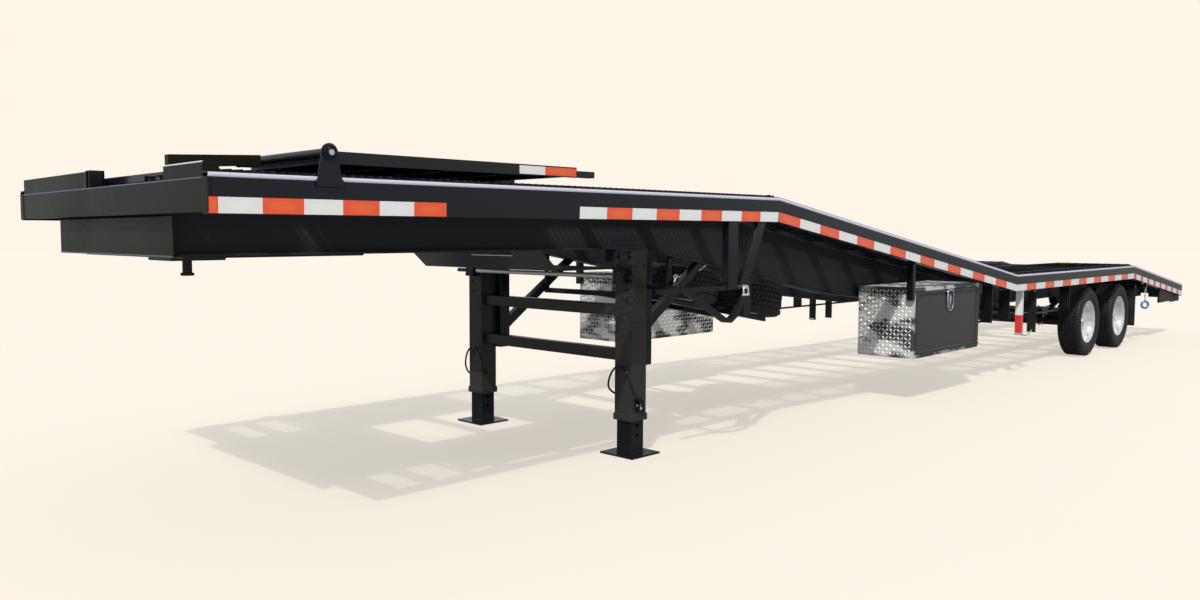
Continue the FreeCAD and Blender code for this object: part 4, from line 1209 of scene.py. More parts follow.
# ---- toolboxes
@dataclass
class Toolbox:
    """A tread-plate box with an embossed drop door and a paddle latch."""

    paint: Finishes
    growers: Growers
    side: Side
    lug_pitch: float = 0.035
    lug_length: float = 0.035
    lug_width: float = 0.0135
    lug_rise: float = 0.0026
    lug_root: float = 0.0003
    border: float = 0.01
    door_depth: float = 0.0215
    rim: float = 0.018
    rim_slope: float = 0.006
    emboss: float = 0.015
    peak: float = 0.0005
    knuckles: int = 14
    knuckle: float = 0.0056

    def _lug(self, shape: Stock) -> None:
        """One raised lug: a long low lens."""
        rings = []
        for share in (-1.0, -0.72, 0.0, 0.72, 1.0):
            wide = self.lug_width / 2 * max(0.12, 1 - share * share)
            rise = self.lug_rise * max(0.1, 1 - share * share)
            rings.append([Vector((share * self.lug_length / 2, y, z)) for y, z in (
                (-wide, -self.lug_root), (-wide * 0.45, rise), (wide * 0.45, rise),
                (wide, -self.lug_root))])
        shape.rings(rings)

    def shell(self) -> None:
        """Box walls with folded mouth, and the lugs on every outer face."""
        node = f"toolbox_{self.side.word}"
        low, high = box_of(node)
        copied(node).lay(f"{node}_walls", self.paint.tread_plate, "tread_plate",
                         instead=[node], edge=0.001, outward=False)
        size, middle = high - low, (low + high) / 2
        sign, square, turn = self.side.value, math.pi / 2, Matrix.Rotation
        back = low.x if sign > 0 else high.x
        stock = Stock()
        for across, up, centre, spin in (
                (size.x, size.z, (middle.x, low.y, middle.z), turn(square, 4, "X")),
                (size.x, size.z, (middle.x, high.y, middle.z), turn(-square, 4, "X")),
                (size.x, size.y, (middle.x, middle.y, high.z), Matrix.Identity(4)),
                (size.x, size.y, (middle.x, middle.y, low.z), turn(math.pi, 4, "X")),
                (size.z, size.y, (back, middle.y, middle.z), turn(-sign * square, 4, "Y"))):
            stock.take(self.growers.lattice.grow(
                self._lug, self.paint.lug, Across=across - 2 * self.border,
                Up=up - 2 * self.border, Pitch=self.lug_pitch),
                Matrix.Translation(centre) @ spin)
        # the lugs' near-white finish is a painted highlight
        stock.lay(f"{node}_lugs", self.paint.lug, "tread_plate", instead=[node], smooth=30,
                  outward=False)

    def door(self) -> None:
        """Door panel with a folded rim and four embossed facets, on its hinge."""
        node, body = f"toolbox_{self.side.word}_door", f"door_{self.side.word}"
        low, high = box_of(node)
        sign = self.side.value
        back, front = (low.x, high.x) if sign > 0 else (high.x, low.x)
        face = back + sign * self.door_depth
        panel = Stock()
        rows = []
        for x, inset in ((back, 0.0), (face, 0.0), (face, self.rim),
                         (face - sign * self.emboss, self.rim + self.rim_slope)):
            y0, z0, y1, z1 = low.y + inset, low.z + inset, high.y - inset, high.z - inset
            rows.append([panel.bm.verts.new((x, y, z))
                         for y, z in ((y0, z0), (y1, z0), (y1, z1), (y0, z1))])
        heart = panel.bm.verts.new((face - sign * self.peak, (low.y + high.y) / 2,
                                    (low.z + high.z) / 2))
        panel.bm.faces.new(rows[0][::-1])
        for i in range(4):
            k = (i + 1) % 4
            for near, far in zip(rows, rows[1:]):
                panel.bm.faces.new((near[i], near[k], far[k], far[i]))
            panel.bm.faces.new((rows[3][i], rows[3][k], heart))
        panel.lay(f"{node}_panel", self.paint.panel, "black_paint", body, [node],
                  edge=0.0018)
        hinge = Stock()
        axis, z = front - sign * 0.0058, low.z + 0.004
        step = (high.y - low.y) / self.knuckles
        for i in range(self.knuckles):
            start = low.y + i * step + 0.002
            hinge.tube([(axis, start, z), (axis, start + step - 0.004, z)], self.knuckle, 14)
        x0, x1 = min(face, axis) - 0.001, max(face, axis) + 0.001
        y0, y1 = low.y + 0.002, high.y - 0.002
        hinge.slab([(x0, y0, low.z), (x1, y0, low.z), (x1, y1, low.z), (x0, y1, low.z)],
                   (0, 0, 0.003))
        hinge.lay(f"{node}_hinge", self.paint.black, "black_paint", body, [node], smooth=40)
        self._latch(face, body)

    def _latch(self, face: float, body: str) -> None:
        """Recessed paddle latch: a bright D-shaped rim, a dark cup and a handle."""
        node = f"toolbox_{self.side.word}_latch"
        low, high = box_of(node)
        sign, middle = self.side.value, (low + high) / 2
        half_w = (high.y - low.y) / 2 + 0.018
        half_h = (high.z - low.z) / 2 + 0.016
        corners = [(-0.78, 1.0), (0.78, 1.0), (1.0, 0.8), (1.0, -0.25)]
        corners += [(math.cos(a), -0.25 - 0.75 * math.sin(a))
                    for a in (math.pi * k / 14 for k in range(1, 14))]
        corners += [(-1.0, -0.25), (-1.0, 0.8)]

        def spot(depth: float, y: float, z: float) -> Vector:
            """A point so far out of the door's face."""
            return Vector((face + sign * depth, middle.y + y, z))

        def ring(depth: float, scale: float) -> list[Vector]:
            """The D-shaped outline, made smaller by an even margin."""
            tall = half_h - half_w * (1 - scale)
            return [spot(depth, y * half_w * scale, middle.z + z * tall) for y, z in corners]

        rim, cup, paddle = Stock(), Stock(), Stock()
        rim.rings([ring(0.0, 1.0), ring(0.006, 0.985), ring(0.0085, 0.93), ring(0.0085, 0.86),
                   ring(0.006, 0.8), ring(0.0, 0.79)], joined=True)
        cup.rings([ring(0.0006, 0.8), ring(0.0018, 0.78)])
        top, foot = middle.z + half_h * 0.52, middle.z - half_h * 0.42
        rings = []
        for share in (k / 8 for k in range(9)):
            z = top + (foot - top) * share
            out = 0.0022 + 0.0052 * math.sin(math.pi * min(share * 1.05, 1.0))
            wide = half_w * 0.27 * (0.62 + 0.5 * share * share)
            rings.append([spot(0.0012, -wide, z), spot(out, -wide * 0.8, z),
                          spot(out + 0.0012, 0.0, z), spot(out, wide * 0.8, z),
                          spot(0.0012, wide, z)])
        paddle.rings(rings)
        lock = middle.z - half_h * 0.62
        paddle.tube([spot(0.001, 0.0, lock), spot(0.0075, 0.0, lock)], 0.011, 24)
        for word, stock, finish, smooth in (("rim", rim, self.paint.chrome, 50),
                                            ("cup", cup, self.paint.plastic, 35),
                                            ("handle", paddle, self.paint.chrome, 50)):
            stock.lay(f"{node}_{word}", finish, "latch_chrome", body, [node], smooth=smooth)

    def build(self) -> None:
        """Make the box and its door."""
        self.shell()
        self.door()


# ---- fasteners
Spots = list[tuple[Point, Facing]]


@dataclass
class Bolts:
    """Hexagon bolts with washers, standing on flat faces."""

    growers: Growers
    # sides and outline as (height, radius) of the washer and the head, in half widths
    shape: tuple[tuple[int, Outline], ...] = (
        (18, ((0.0, 0.0), (0.0, 1.35), (0.22, 1.3), (0.22, 0.0))),
        (6, ((0.2, 0.0), (0.2, 1.0), (0.95, 1.0), (1.12, 0.8), (1.12, 0.0))))

    def grow(self, name: str, spots: Spots, across: float, finish: Material,
             slot: str = "") -> None:
        """Set bolts on spots.

        Args:
            name: Name of the piece.
            spots: Points (x, station, z) with the way that they face.
            across: Width of a head in metres.
            finish: Their plating.
            slot: The record's slot.
        """
        def bolt(stock: Stock) -> None:
            """One bolt, its washer on the face."""
            for sides, outline in self.shape:
                stock.lathe([(z * across / 2, r * across / 2) for z, r in outline],
                            steps=sides, axis=(0, 0, 1))

        base = loose([place(*spot) for spot, _ in spots],
                     turns=[facing.value for _, facing in spots])
        stock = Stock()
        stock.take(self.growers.spots.grow(bolt, finish, base))
        stock.lay(name, finish, slot, smooth=30)


@dataclass
class Chain:
    """Short-link chain hung along a line of points."""

    paint: Finishes
    growers: Growers
    wire: float = 0.0042
    pitch: float = 0.03
    bend: float = 0.0085
    steps: int = 14

    def _link(self, stock: Stock) -> None:
        """One oval link about the line's own axis Z."""
        rise = self.pitch / 2 - 0.001
        path = [Vector((self.bend * math.cos(a), 0,
                        rise + self.bend * math.sin(a) - self.bend * 0.3))
                for a in (math.pi * k / 6 for k in range(7))]
        path += [Vector((p.x, 0, -p.z)) for p in path[::-1]]
        rings = []
        for i, point in enumerate(path):
            ahead = (path[(i + 1) % len(path)] - path[i - 1]).normalized()
            out = ahead.cross(Vector((0, 1, 0)))
            rings.append([point + self.wire * (out * math.cos(a) + Vector((0, math.sin(a), 0)))
                          for a in (math.pi * k / 3 for k in range(6))])
        stock.rings(rings, joined=True)

    def hang(self, name: str, runs: Iterable[tuple[Point, Point, float]]) -> None:
        """One piece of chains, each from a start to a stop with a sag in metres."""
        stock = Stock()
        for start, stop, sag in runs:
            line = [place(*start).lerp(place(*stop), t) - Vector((0, 0, sag * 4 * t * (1 - t)))
                    for t in (k / self.steps for k in range(self.steps + 1))]
            stock.take(self.growers.path.grow(
                self._link, self.paint.zinc, loose(line, linked=True), Pitch=self.pitch,
                Roll=math.pi / 2))
        stock.lay(name, self.paint.zinc, smooth=60)


# ---- nose
@dataclass
class Nose:
    """Fittings on the trailer's front end."""

    paint: Finishes
    bolts: Bolts
    block_end: float = -0.175
    block_top: float = 1.82
    block_foot: float = 1.735
    groove: float = 0.01
    bracket: float = 0.052
    leaf: float = 0.007
    face: float = 0.004
    back: float = 0.076
    lip_z: float = 1.7975
    # side view of the latch bracket, as (station, height)
    latch: Outline = ((0.2, 1.735), (0.34, 1.735), (0.34, 1.78), (0.315, 1.802),
                      (0.275, 1.808), (0.235, 1.8), (0.2, 1.776))

    def end_bracket(self) -> None:
        """Grooved end and bolted angle beside the long rest block."""
        stock = Stock()
        top, foot, x = self.block_top + 0.006, self.block_foot - 0.004, self.block_end
        start = x + 2 * self.groove
        stop = start + self.bracket
        for x0, x1, s0, s1, high in (
                (x, x + self.groove, self.face, self.back, top - 0.008),
                (start, start + self.leaf, self.face - 0.002, 0.08, top),
                (start, stop, 0.068, self.back, top),
                (stop - self.leaf, stop, self.face - 0.002, 0.08, top)):
            stock.block((x0, s0, foot), (x1, s1, high))
        stock.lay("rest_end_bracket", self.paint.black, "black_paint", edge=0.0015)
        self.bolts.grow("rest_end_bolts",
                        [((start + self.bracket / 2, 0.068, foot + up), Facing.FRONT)
                         for up in (0.02, 0.045, 0.07)], 0.013, self.paint.zinc)

    def lips(self) -> None:
        """Painted highlights: a pale round strip on the near stop's folded top edge, and blue
        round beads along the cross member's top edge and a lower edge across the nose, for the sky
        reflected in them.
        """
        stock = Stock()
        stock.pipe([(0.832, 0.006, self.lip_z), (1.232, 0.006, self.lip_z)], 0.0038, 10)
        stock.lay("stop_top_edge", self.paint.edge, "wheel_aluminium", smooth=60)
        beads = Stock()
        for x, station, z in ((1.284, 0.003, 1.732), (0.778, 0.064, 1.398)):
            beads.pipe([(-x, station, z), (x, station, z)], 0.004, 10)
        beads.lay("nose_fold_edges", self.paint.fold, "black_paint", smooth=60)

    def middle_bars(self) -> None:
        """Latch bracket with a round head and two dark bars behind the cross member."""
        stock = Stock()
        for x in (-0.47, -0.4):
            stock.plate([(x, station, z) for station, z in self.latch], (0.012, 0, 0))
        stock.pipe([(-0.48, 0.285, 1.78), (0.8, 0.285, 1.78)], 0.016, 20)
        stock.block((-0.34, 0.1, 1.752), (0.78, 0.15, 1.79))
        stock.block((-0.34, 0.2, 1.74), (0.78, 0.235, 1.772))
        for x in (-0.33, 0.76):
            stock.block((x, 0.068, 1.728), (x + 0.012, 0.31, 1.764))
        stock.lay("nose_latch_bars", self.paint.black, "black_paint", edge=0.0018)

    def plates(self) -> None:
        """Bolted end plates where the cross member meets the side rails."""
        self.bolts.grow("nose_end_bolts",
                        [((sign * 1.2955, 0.014, z), Facing.out(sign))
                         for sign in SIGNS for z in (1.668, 1.694, 1.72)], 0.011,
                        self.paint.black, "black_paint")
        stock = Stock()
        for sign in SIGNS:
            stock.block((sign * 1.236, -0.003, 1.5905), (sign * 1.2945, 0.004, 1.7345))
        # the end caps take the painted sunlit olive black
        stock.lay("rail_end_caps", self.paint.nose, "black_paint", edge=0.0015)

    def build(self) -> None:
        """Make the nose fittings."""
        self.end_bracket()
        self.lips()
        self.middle_bars()
        self.plates()


# ---- flip ramps
@dataclass
class FlipRamps:
    """The two hinged bridge ramps, laid back on the deck."""

    paint: Finishes
    growers: Growers
    pivot: float = 0.56
    front: float = 0.63
    length: float = 1.59
    inner: float = 0.42
    outer: float = 1.215
    rise: float = 0.016
    depth: float = 0.058
    pin: float = 0.022
    pitch: float = 0.045
    grip: Outline = ((-0.0004, 0.0105), (0.003, 0.0092), (0.003, 0.0068), (-0.0004, 0.0056))
    tape: tuple[tuple[str, float, float], ...] = (("white", 1.78, 1.97),
                                                  ("orange", 1.97, 2.215))
    heights: tuple[tuple[Side, float], ...] = ((Side.LEFT, 1.861), (Side.RIGHT, 1.806))

    def _cleat(self, stock: Stock) -> None:
        """A raised grip: a low ring with a lip."""
        stock.lathe(self.grip, steps=12, axis=(0, 0, 1))

    def plate(self, name: str, side: Side, top: float) -> None:
        """Grip rings over the ramp's plate, and tape near the free end of its outer member."""
        stock = Stock()
        middle = place(side.value * (self.outer + self.inner) / 2,
                       self.front + self.length / 2, top)
        stock.take(self.growers.lattice.grow(
            self._cleat, self.paint.mesh, Across=self.outer - self.inner - 0.03,
            Up=self.length - 0.04, Pitch=self.pitch), Matrix.Translation(middle))
        stock.lay(f"{name}_grips", self.paint.mesh, "deck_mesh", name, smooth=40)
        for colour, start, stop in self.tape:
            laid = Strips()
            laid.strip(start, stop, top - self.depth + 0.006, top - 0.007,
                      lambda station, z: place(side.value * self.outer, station, z),
                      (side.value, 0, 0))
            laid.lay(f"{name}_tape_{colour}", getattr(self.paint, colour), body=name)

    def knuckle(self, name: str, sign: int, z: float) -> None:
        """Bright pin end on the ramp, and a dark boss and a welded shoe on the frame."""
        centre, radius = place(0, self.pivot, z), self.pin
        end, boss, shoe = Stock(), Stock(), Stock()
        for stock, steps, outline in (
                (end, 40, ((1.3, 0.0), (1.3, radius - 0.001), (1.315, radius - 0.001),
                           (1.3165, radius - 0.0035), (1.3165, radius * 0.62),
                           (1.3225, radius * 0.56), (1.3225, 0.0))),
                (boss, 48, ((1.304, radius + 0.0028), (1.311, radius + 0.0028),
                            (1.315, radius + 0.005), (1.315, 0.033), (1.312, 0.0352),
                            (1.304, 0.0352)))):
            stock.lathe([(sign * x, r) for x, r in outline], centre, steps)
        end.lay(f"{name}_pin_end", self.paint.zinc, "rod_steel", name)
        boss.lay(f"{name}_boss", self.paint.black, "black_paint")
        low, high = sorted((sign * 1.2955, sign * 1.3085))
        shoe.plate([(low, self.pivot + along, up) for along, up in (
            (-0.07, 1.708), (0.07, 1.708), (0.066, 1.745), (-0.066, 1.745))],
            (high - low, 0, 0))
        shoe.lay(f"{name}_shoe", self.paint.black, "black_paint", edge=0.003)

    def build(self) -> None:
        """Dress both ramps."""
        for side, z in self.heights:
            steel(f"flip_ramp_{side.word}", Edge.PLATE, self.paint.ramp)
            name = f"ramp_{side.word}"
            self.plate(name, side, z + self.rise)
            self.knuckle(name, side.value, z)


# ---- landing legs
@dataclass
class LegFittings:
    """Bolts, locking pins and their clevises on the landing legs."""

    paint: Finishes
    bolts: Bolts
    leg_x: float = 0.78
    station: float = 3.2
    half: float = 0.076
    foot_half: float = 0.0635
    foot_z: float = 0.0135
    tube_half: float = 0.04
    tube_heights: tuple[float, float] = (0.675, 0.98)
    pin_height: float = 0.35
    pin_back: float = -0.01
    shaft: tuple[float, float] = (3.094, 1.215)
    shaft_reach: float = 0.72
    # the sloping pan between the legs: a station, the height there, its run for each fall
    pan: Point = (2.43, 1.395, 1.128)
    rod: tuple[Point, ...] = (
        (0.076, -0.01, 0.35), (0.106, -0.012, 0.356), (0.118, -0.06, 0.4),
        (0.1, -0.096, 0.47), (0.066, -0.102, 0.56), (0.01, -0.104, 0.602),
        (-0.052, -0.104, 0.59), (-0.1, -0.102, 0.52), (-0.114, -0.092, 0.45),
        (-0.106, -0.03, 0.4), (-0.076, -0.03, 0.4))

    def clevises(self) -> None:
        """Black clevis and bright pin end where each pull rod enters its leg."""
        black, bright = Stock(), Stock()
        middle, z = self.station + self.pin_back, self.pin_height
        for sign in SIGNS:
            face = sign * (self.leg_x + self.half)
            inner, outer = face - sign * 0.001, face + sign * 0.034
            for step in (-0.024, 0.016):
                black.plate([(x, middle + step, z + up) for x, up in (
                    (inner, -0.055), (outer, -0.04), (outer, 0.018), (inner, 0.04))],
                    (0, 0.008, 0))
            bright.lathe([(0.0, 0.0), (0.0, 0.0125), (0.024, 0.0125), (0.03, 0.0105),
                          (0.03, 0.0)], place(face, middle + 0.0005, z - 0.026), 28,
                         (sign, 0, 0))
            bright.pipe([(face + sign * 0.018, middle + along, z - 0.005)
                         for along in (-0.03, 0.03)], 0.0055, 14)
        black.lay("pin_clevises", self.paint.black, "black_paint", edge=0.0012)
        bright.lay("pin_ends", self.paint.zinc, "rod_steel", smooth=45)

    def bolt_up(self) -> None:
        """Bolts on the leg heads, the legs' fronts and the gear cases."""
        spots: Spots = []
        front = self.station - self.half
        for sign in SIGNS:
            x = sign * self.leg_x
            spots += [((x + dx, front, z), Facing.FRONT) for dx in (-0.045, 0.045)
                      for z in (1.345, 1.375)]
            spots += [((x + sign * 0.03, front, z), Facing.FRONT) for z in (1.125, 1.05)]
            spots += [((x + sign * self.half, self.station + dy, 1.285), Facing.out(sign))
                      for dy in (-0.045, 0.045)]
            spots += [((x + dx, front - 0.06, self.shaft[1] + dz), Facing.FRONT)
                      for dx in (-0.033, 0.033) for dz in (-0.033, 0.033)]
        self.bolts.grow("leg_bolts", spots, 0.015, self.paint.black, "black_paint")

    def rods(self) -> None:
        """Smooth bent pull rods round the legs' fronts."""
        stock = Stock()
        for sign in SIGNS:
            corners = [place(sign * (self.leg_x + x), self.station + y, z)
                       for x, y, z in self.rod]
            path: list[Vector] = []
            for a, b, c, d in zip(corners[:1] + corners, corners, corners[1:],
                                  corners[2:] + corners[-1:]):
                path += [0.5 * (2 * b + (c - a) * t + (2 * a - 5 * b + 4 * c - d) * t ** 2
                                + (3 * b - a - 3 * c + d) * t ** 3)
                         for t in (k / 8 for k in range(8))]
            stock.tube(path + [corners[-1]], 0.0068)
        stock.lay("pull_rods_bent", self.paint.black, "rod_steel", smooth=60,
                  instead=["leg_pull_rods"])

    def sleeve(self) -> None:
        """Bright zinc tube over the crank shaft between the gear cases, a painted highlight on the
        black shaft.
        """
        stock = Stock()
        stock.pipe([(x, *self.shaft) for x in (-self.shaft_reach, self.shaft_reach)], 0.0165, 20)
        stock.lay("crank_sleeve", self.paint.zinc, "rod_steel", smooth=60)

    def slot_plate(self) -> None:
        """A black strip as painted shade for a slot in the pan between the legs, and a pale strip
        below it as a painted highlight on its lip.
        """
        station, top, run = self.pan
        for name, finish, start, deep in (("pan_slot", self.paint.plastic, 0.012, 0.022),
                                          ("pan_slot_lip", self.paint.edge, 0.034, 0.006)):
            (s0, z0), (s1, z1) = ((station + fall * run - 0.0022, top - fall)
                                  for fall in (start, start + deep))
            stock = Stock()
            stock.plate([(-0.03, s0, z0), (0.39, s0, z0), (0.39, s1, z1), (-0.03, s1, z1)],
                        (0, 0.003, 0))
            stock.lay(name, finish)

    @staticmethod
    def _fillets(stock: Stock, corners: Sequence[Point], radius: float) -> None:
        """Weld beads from corner to corner and back to the first."""
        for start, stop in zip(corners, corners[1:] + corners[:1]):
            stock.pipe([start, stop], radius, 8)

    def seams(self) -> None:
        """Weld fillets round the cross tubes' ends and the feet."""
        square = ((-1, -1), (1, -1), (1, 1), (-1, 1))
        beads = Stock()
        for sign in SIGNS:
            for z in self.tube_heights:
                self._fillets(beads, [
                    (sign * (self.leg_x - self.half), self.station + a * self.tube_half,
                     z + b * self.tube_half) for a, b in square], 0.0042)
        beads.lay("leg_weld_fillets", self.paint.black, "black_paint", smooth=60)
        for side in Side:
            foot = Stock()
            self._fillets(foot, [
                (side.value * self.leg_x + a * self.foot_half,
                 self.station + b * self.foot_half, self.foot_z) for a, b in square], 0.0048)
            foot.lay(f"foot_{side.word}_weld", self.paint.black, "black_paint",
                     f"leg_{side.word}", smooth=60)

    def build(self) -> None:
        """Make the fittings."""
        self.clevises()
        self.rods()
        self.sleeve()
        self.slot_plate()
        self.bolt_up()
        self.seams()


# ---- spare wheels
@dataclass
class SpareWheels:
    """Two spare wheels under the beams, with their clamp bars, shackle and chain."""

    paint: Finishes
    wheel: Wheel
    chain: Chain
    x: float = 0.22
    stations: tuple[float, float] = (4.26, 5.17)
    drop: float = 0.145
    beam_knee: float = 3.4
    beam_low: float = 5.8
    beam_foot: float = 1.395
    beam_under: float = 0.985
    shackle_at: Point = (1.292, 3.8, 1.112)

    def place_all(self, make: Callable[[], Stock], finish: Material) -> Stock:
        """Put one shape, made about the X axis, at both spares under the sloping beams."""
        fall = (self.beam_foot - self.beam_under) / (self.beam_low - self.beam_knee)
        stock = Stock()
        for station in self.stations:
            z = self.beam_foot - (station - self.beam_knee) * fall - self.drop
            stock.take(make().piece("spare", finish).data,
                       Matrix.Translation(place(self.x, station, z))
                       @ Matrix.Rotation(-math.atan(fall), 4, "X")
                       @ Matrix.Rotation(math.radians(-90), 4, "Y"))
        return stock

    @staticmethod
    def _clamp() -> Stock:
        """A threaded clamp rod with a wing plate and a nut."""
        rod = Stock()
        rod.lathe([(-0.15, 0.0), (-0.15, 0.011), (0.085, 0.011), (0.085, 0.0)], steps=16)
        rod.slab([(0.06, -0.075, -0.02), (0.06, 0.075, -0.02), (0.06, 0.075, 0.02),
                  (0.06, -0.075, 0.02)], (0.008, 0, 0))
        rod.lathe([(0.067, 0.0), (0.067, 0.019), (0.082, 0.019), (0.082, 0.0)], steps=6)
        return rod

    def shackle(self) -> None:
        """Bright bow shackle and bolt at the rack's rear corner."""
        stock = Stock()
        centre = place(*self.shackle_at)
        stock.tube([centre + Vector((0.0, 0.028 * math.sin(a), 0.034 * math.cos(a)))
                    for a in (math.radians(t) for t in range(-140, 141, 20))], 0.0065)
        stock.tube([centre + Vector((0, y, -0.026)) for y in (-0.034, 0.034)], 0.008)
        stock.pipe([(1.24, 3.79, 1.14), (1.31, 3.79, 1.14)], 0.013, 20)
        stock.lay("rack_shackle", self.paint.zinc, "rod_steel", smooth=50)

    def build(self) -> None:
        """Make the spares, dish upwards, and their fittings."""
        self.place_all(self.wheel.tyre, self.paint.tyre).lay(
            "spare_tyres_laid", self.paint.tyre, "tyre_rubber", instead=["spare_tyres"], smooth=28)
        self.place_all(lambda: self.wheel.rim(1), self.paint.wheel).lay(
            "spare_rims_laid", self.paint.wheel, "wheel_aluminium", instead=["spare_rims"],
            smooth=28)
        self.place_all(self._clamp, self.paint.zinc).lay(
            "spare_clamps", self.paint.zinc, "rod_steel", smooth=30)
        self.shackle()
        self.chain.hang("spare_chain", (((0.69, 4.135, 1.258), (0.64, 3.86, 1.185), 0.02),
                                        ((0.64, 3.86, 1.185), (0.655, 3.815, 1.09), 0.0)))


# ---- running gear
@dataclass
class RunningGear:
    """Leaf packs, U-bolts and brake gear round the two axles."""

    paint: Finishes
    bolts: Bolts
    axles: tuple[float, float] = (11.27, 12.49)
    hanger_pins: tuple[float, ...] = (10.824, 11.86, 11.9, 12.936)
    spring_x: float = 0.66
    spring_half: float = 0.038
    reach: float = 0.48
    arch: float = 0.11
    wheel_z: float = 0.419
    tube: float = 0.064
    leaves: int = 6
    leaf: float = 0.0105
    leaf_gap: float = 0.0016
    leaf_step: float = 0.145
    tie: tuple[float, float] = (0.047, 0.05)
    can: Outline = (
        (0.0, 0.0), (0.0, 0.03), (0.006, 0.05), (0.03, 0.068), (0.056, 0.071),
        (0.056, 0.078), (0.072, 0.078), (0.072, 0.071), (0.098, 0.068), (0.12, 0.056),
        (0.13, 0.034), (0.13, 0.0))
    band: Outline = ((0.058, 0.0745), (0.058, 0.0815), (0.07, 0.0815), (0.07, 0.0745))
    # pipes as (share of pipe_x, station, height)
    pipe_x: float = 0.56
    pipes: tuple[tuple[Point, ...], ...] = (
        ((1, 8.9, 0.8), (1, 10.6, 0.8), (1, 10.9, 0.79), (1, 11.1, 0.7),
         (1.03, 11.22, 0.61), (1.03, 11.34, 0.57)),
        ((0.96, 8.9, 0.78), (0.96, 12.0, 0.78), (0.98, 12.25, 0.73), (1.03, 12.42, 0.62),
         (1.03, 12.56, 0.57)))

    def spots(self) -> Iterable[tuple[int, float]]:
        """The sign of X and the station of each axle end."""
        return [(sign, axle) for sign in SIGNS for axle in self.axles]

    def packs(self) -> None:
        """Leaves stacked under an arched main leaf."""
        stock = Stock()
        base = self.wheel_z + self.tube + self.arch - 0.042
        for sign, axle in self.spots():
            low = sign * self.spring_x - self.spring_half
            for k in range(self.leaves):
                reach = self.reach * (1.0 - self.leaf_step * k)
                drop = k * (self.leaf + self.leaf_gap)
                upper = []
                for share in (-1 + i / 8 for i in range(17)):
                    lift = self.arch * 0.36 * (share * reach / self.reach) ** 2
                    upper.append((low, axle + share * reach, base + lift - drop))
                under = [(x, station, z - self.leaf) for x, station, z in upper[::-1]]
                stock.plate(upper + under, (2 * self.spring_half, 0, 0))
        stock.lay("leaf_packs", self.paint.black, "black_paint", instead=["springs"],
                  edge=0.0012)

    def ties(self) -> None:
        """U-bolts over each pack, with a plate above and a saddle on the axle."""
        black, zinc = Stock(), Stock()
        top = self.wheel_z + self.tube + self.arch - 0.032
        foot = self.wheel_z + self.tube - 0.012
        dx, dy = self.tie
        for sign, axle in self.spots():
            x = sign * self.spring_x
            for wide, long, low, high in ((0.055, 0.075, top, top + 0.014),
                                          (0.05, 0.07, foot, foot + 0.02)):
                black.block((x - wide, axle - long, low), (x + wide, axle + long, high))
            for station in (axle - dy, axle + dy):
                zinc.pipe([(x + across, station, z) for across, z in (
                    (-dx, top + 0.03), (-dx, self.wheel_z), (-0.036, self.wheel_z - 0.046),
                    (0.0, self.wheel_z - 0.072), (0.036, self.wheel_z - 0.046),
                    (dx, self.wheel_z), (dx, top + 0.03))], 0.0075)
        black.lay("spring_seats", self.paint.black, "black_paint", edge=0.002)
        zinc.lay("spring_ties", self.paint.zinc, "rod_steel", smooth=45)
        self.bolts.grow("spring_nuts", [
            ((sign * self.spring_x + x, axle + y, top + 0.014), Facing.UP)
            for sign, axle in self.spots() for x in (-dx, dx) for y in (-dy, dy)], 0.022,
            self.paint.zinc)
        self.bolts.grow("hanger_bolts", [
            ((sign * (self.spring_x + 0.045), station, 0.622), Facing.out(sign))
            for sign in SIGNS for station in self.hanger_pins], 0.03, self.paint.zinc)

    def chambers(self) -> None:
        """Pressed brake cans with a clamp band, a push rod and air fittings."""
        black, zinc = Stock(), Stock()
        for sign, axle in self.spots():
            centre = place(sign * 0.5, axle + 0.104, self.wheel_z + 0.06)
            black.lathe(self.can, centre, 48)
            zinc.lathe(self.band, centre, 48)
            zinc.tube([centre + Vector((x, 0, 0))
                       for x in ((-0.13, 0.003) if sign > 0 else (0.13, 0.127))], 0.008, 14)
            for dy in (-0.02, 0.03):
                zinc.tube([centre + Vector((0.1, dy, z)) for z in (0.05, 0.092)], 0.009, 6)
        black.lay("brake_cans", self.paint.black, "black_paint", smooth=40)
        steel("brake_chambers", Edge.NONE, self.paint.black)
        zinc.lay("brake_bands", self.paint.zinc, "rod_steel", smooth=45)

    def air(self) -> None:
        """Air pipes clipped along the beams and down to the axles."""
        stock = Stock()
        for sign in SIGNS:
            for path in self.pipes:
                stock.pipe([(sign * self.pipe_x * share, station, z)
                            for share, station, z in path], 0.007, 10)
        stock.lay("air_pipes", self.paint.blue, "black_paint", smooth=60)

    def build(self) -> None:
        """Make the running gear."""
        self.packs()
        self.ties()
        self.chambers()
        self.air()


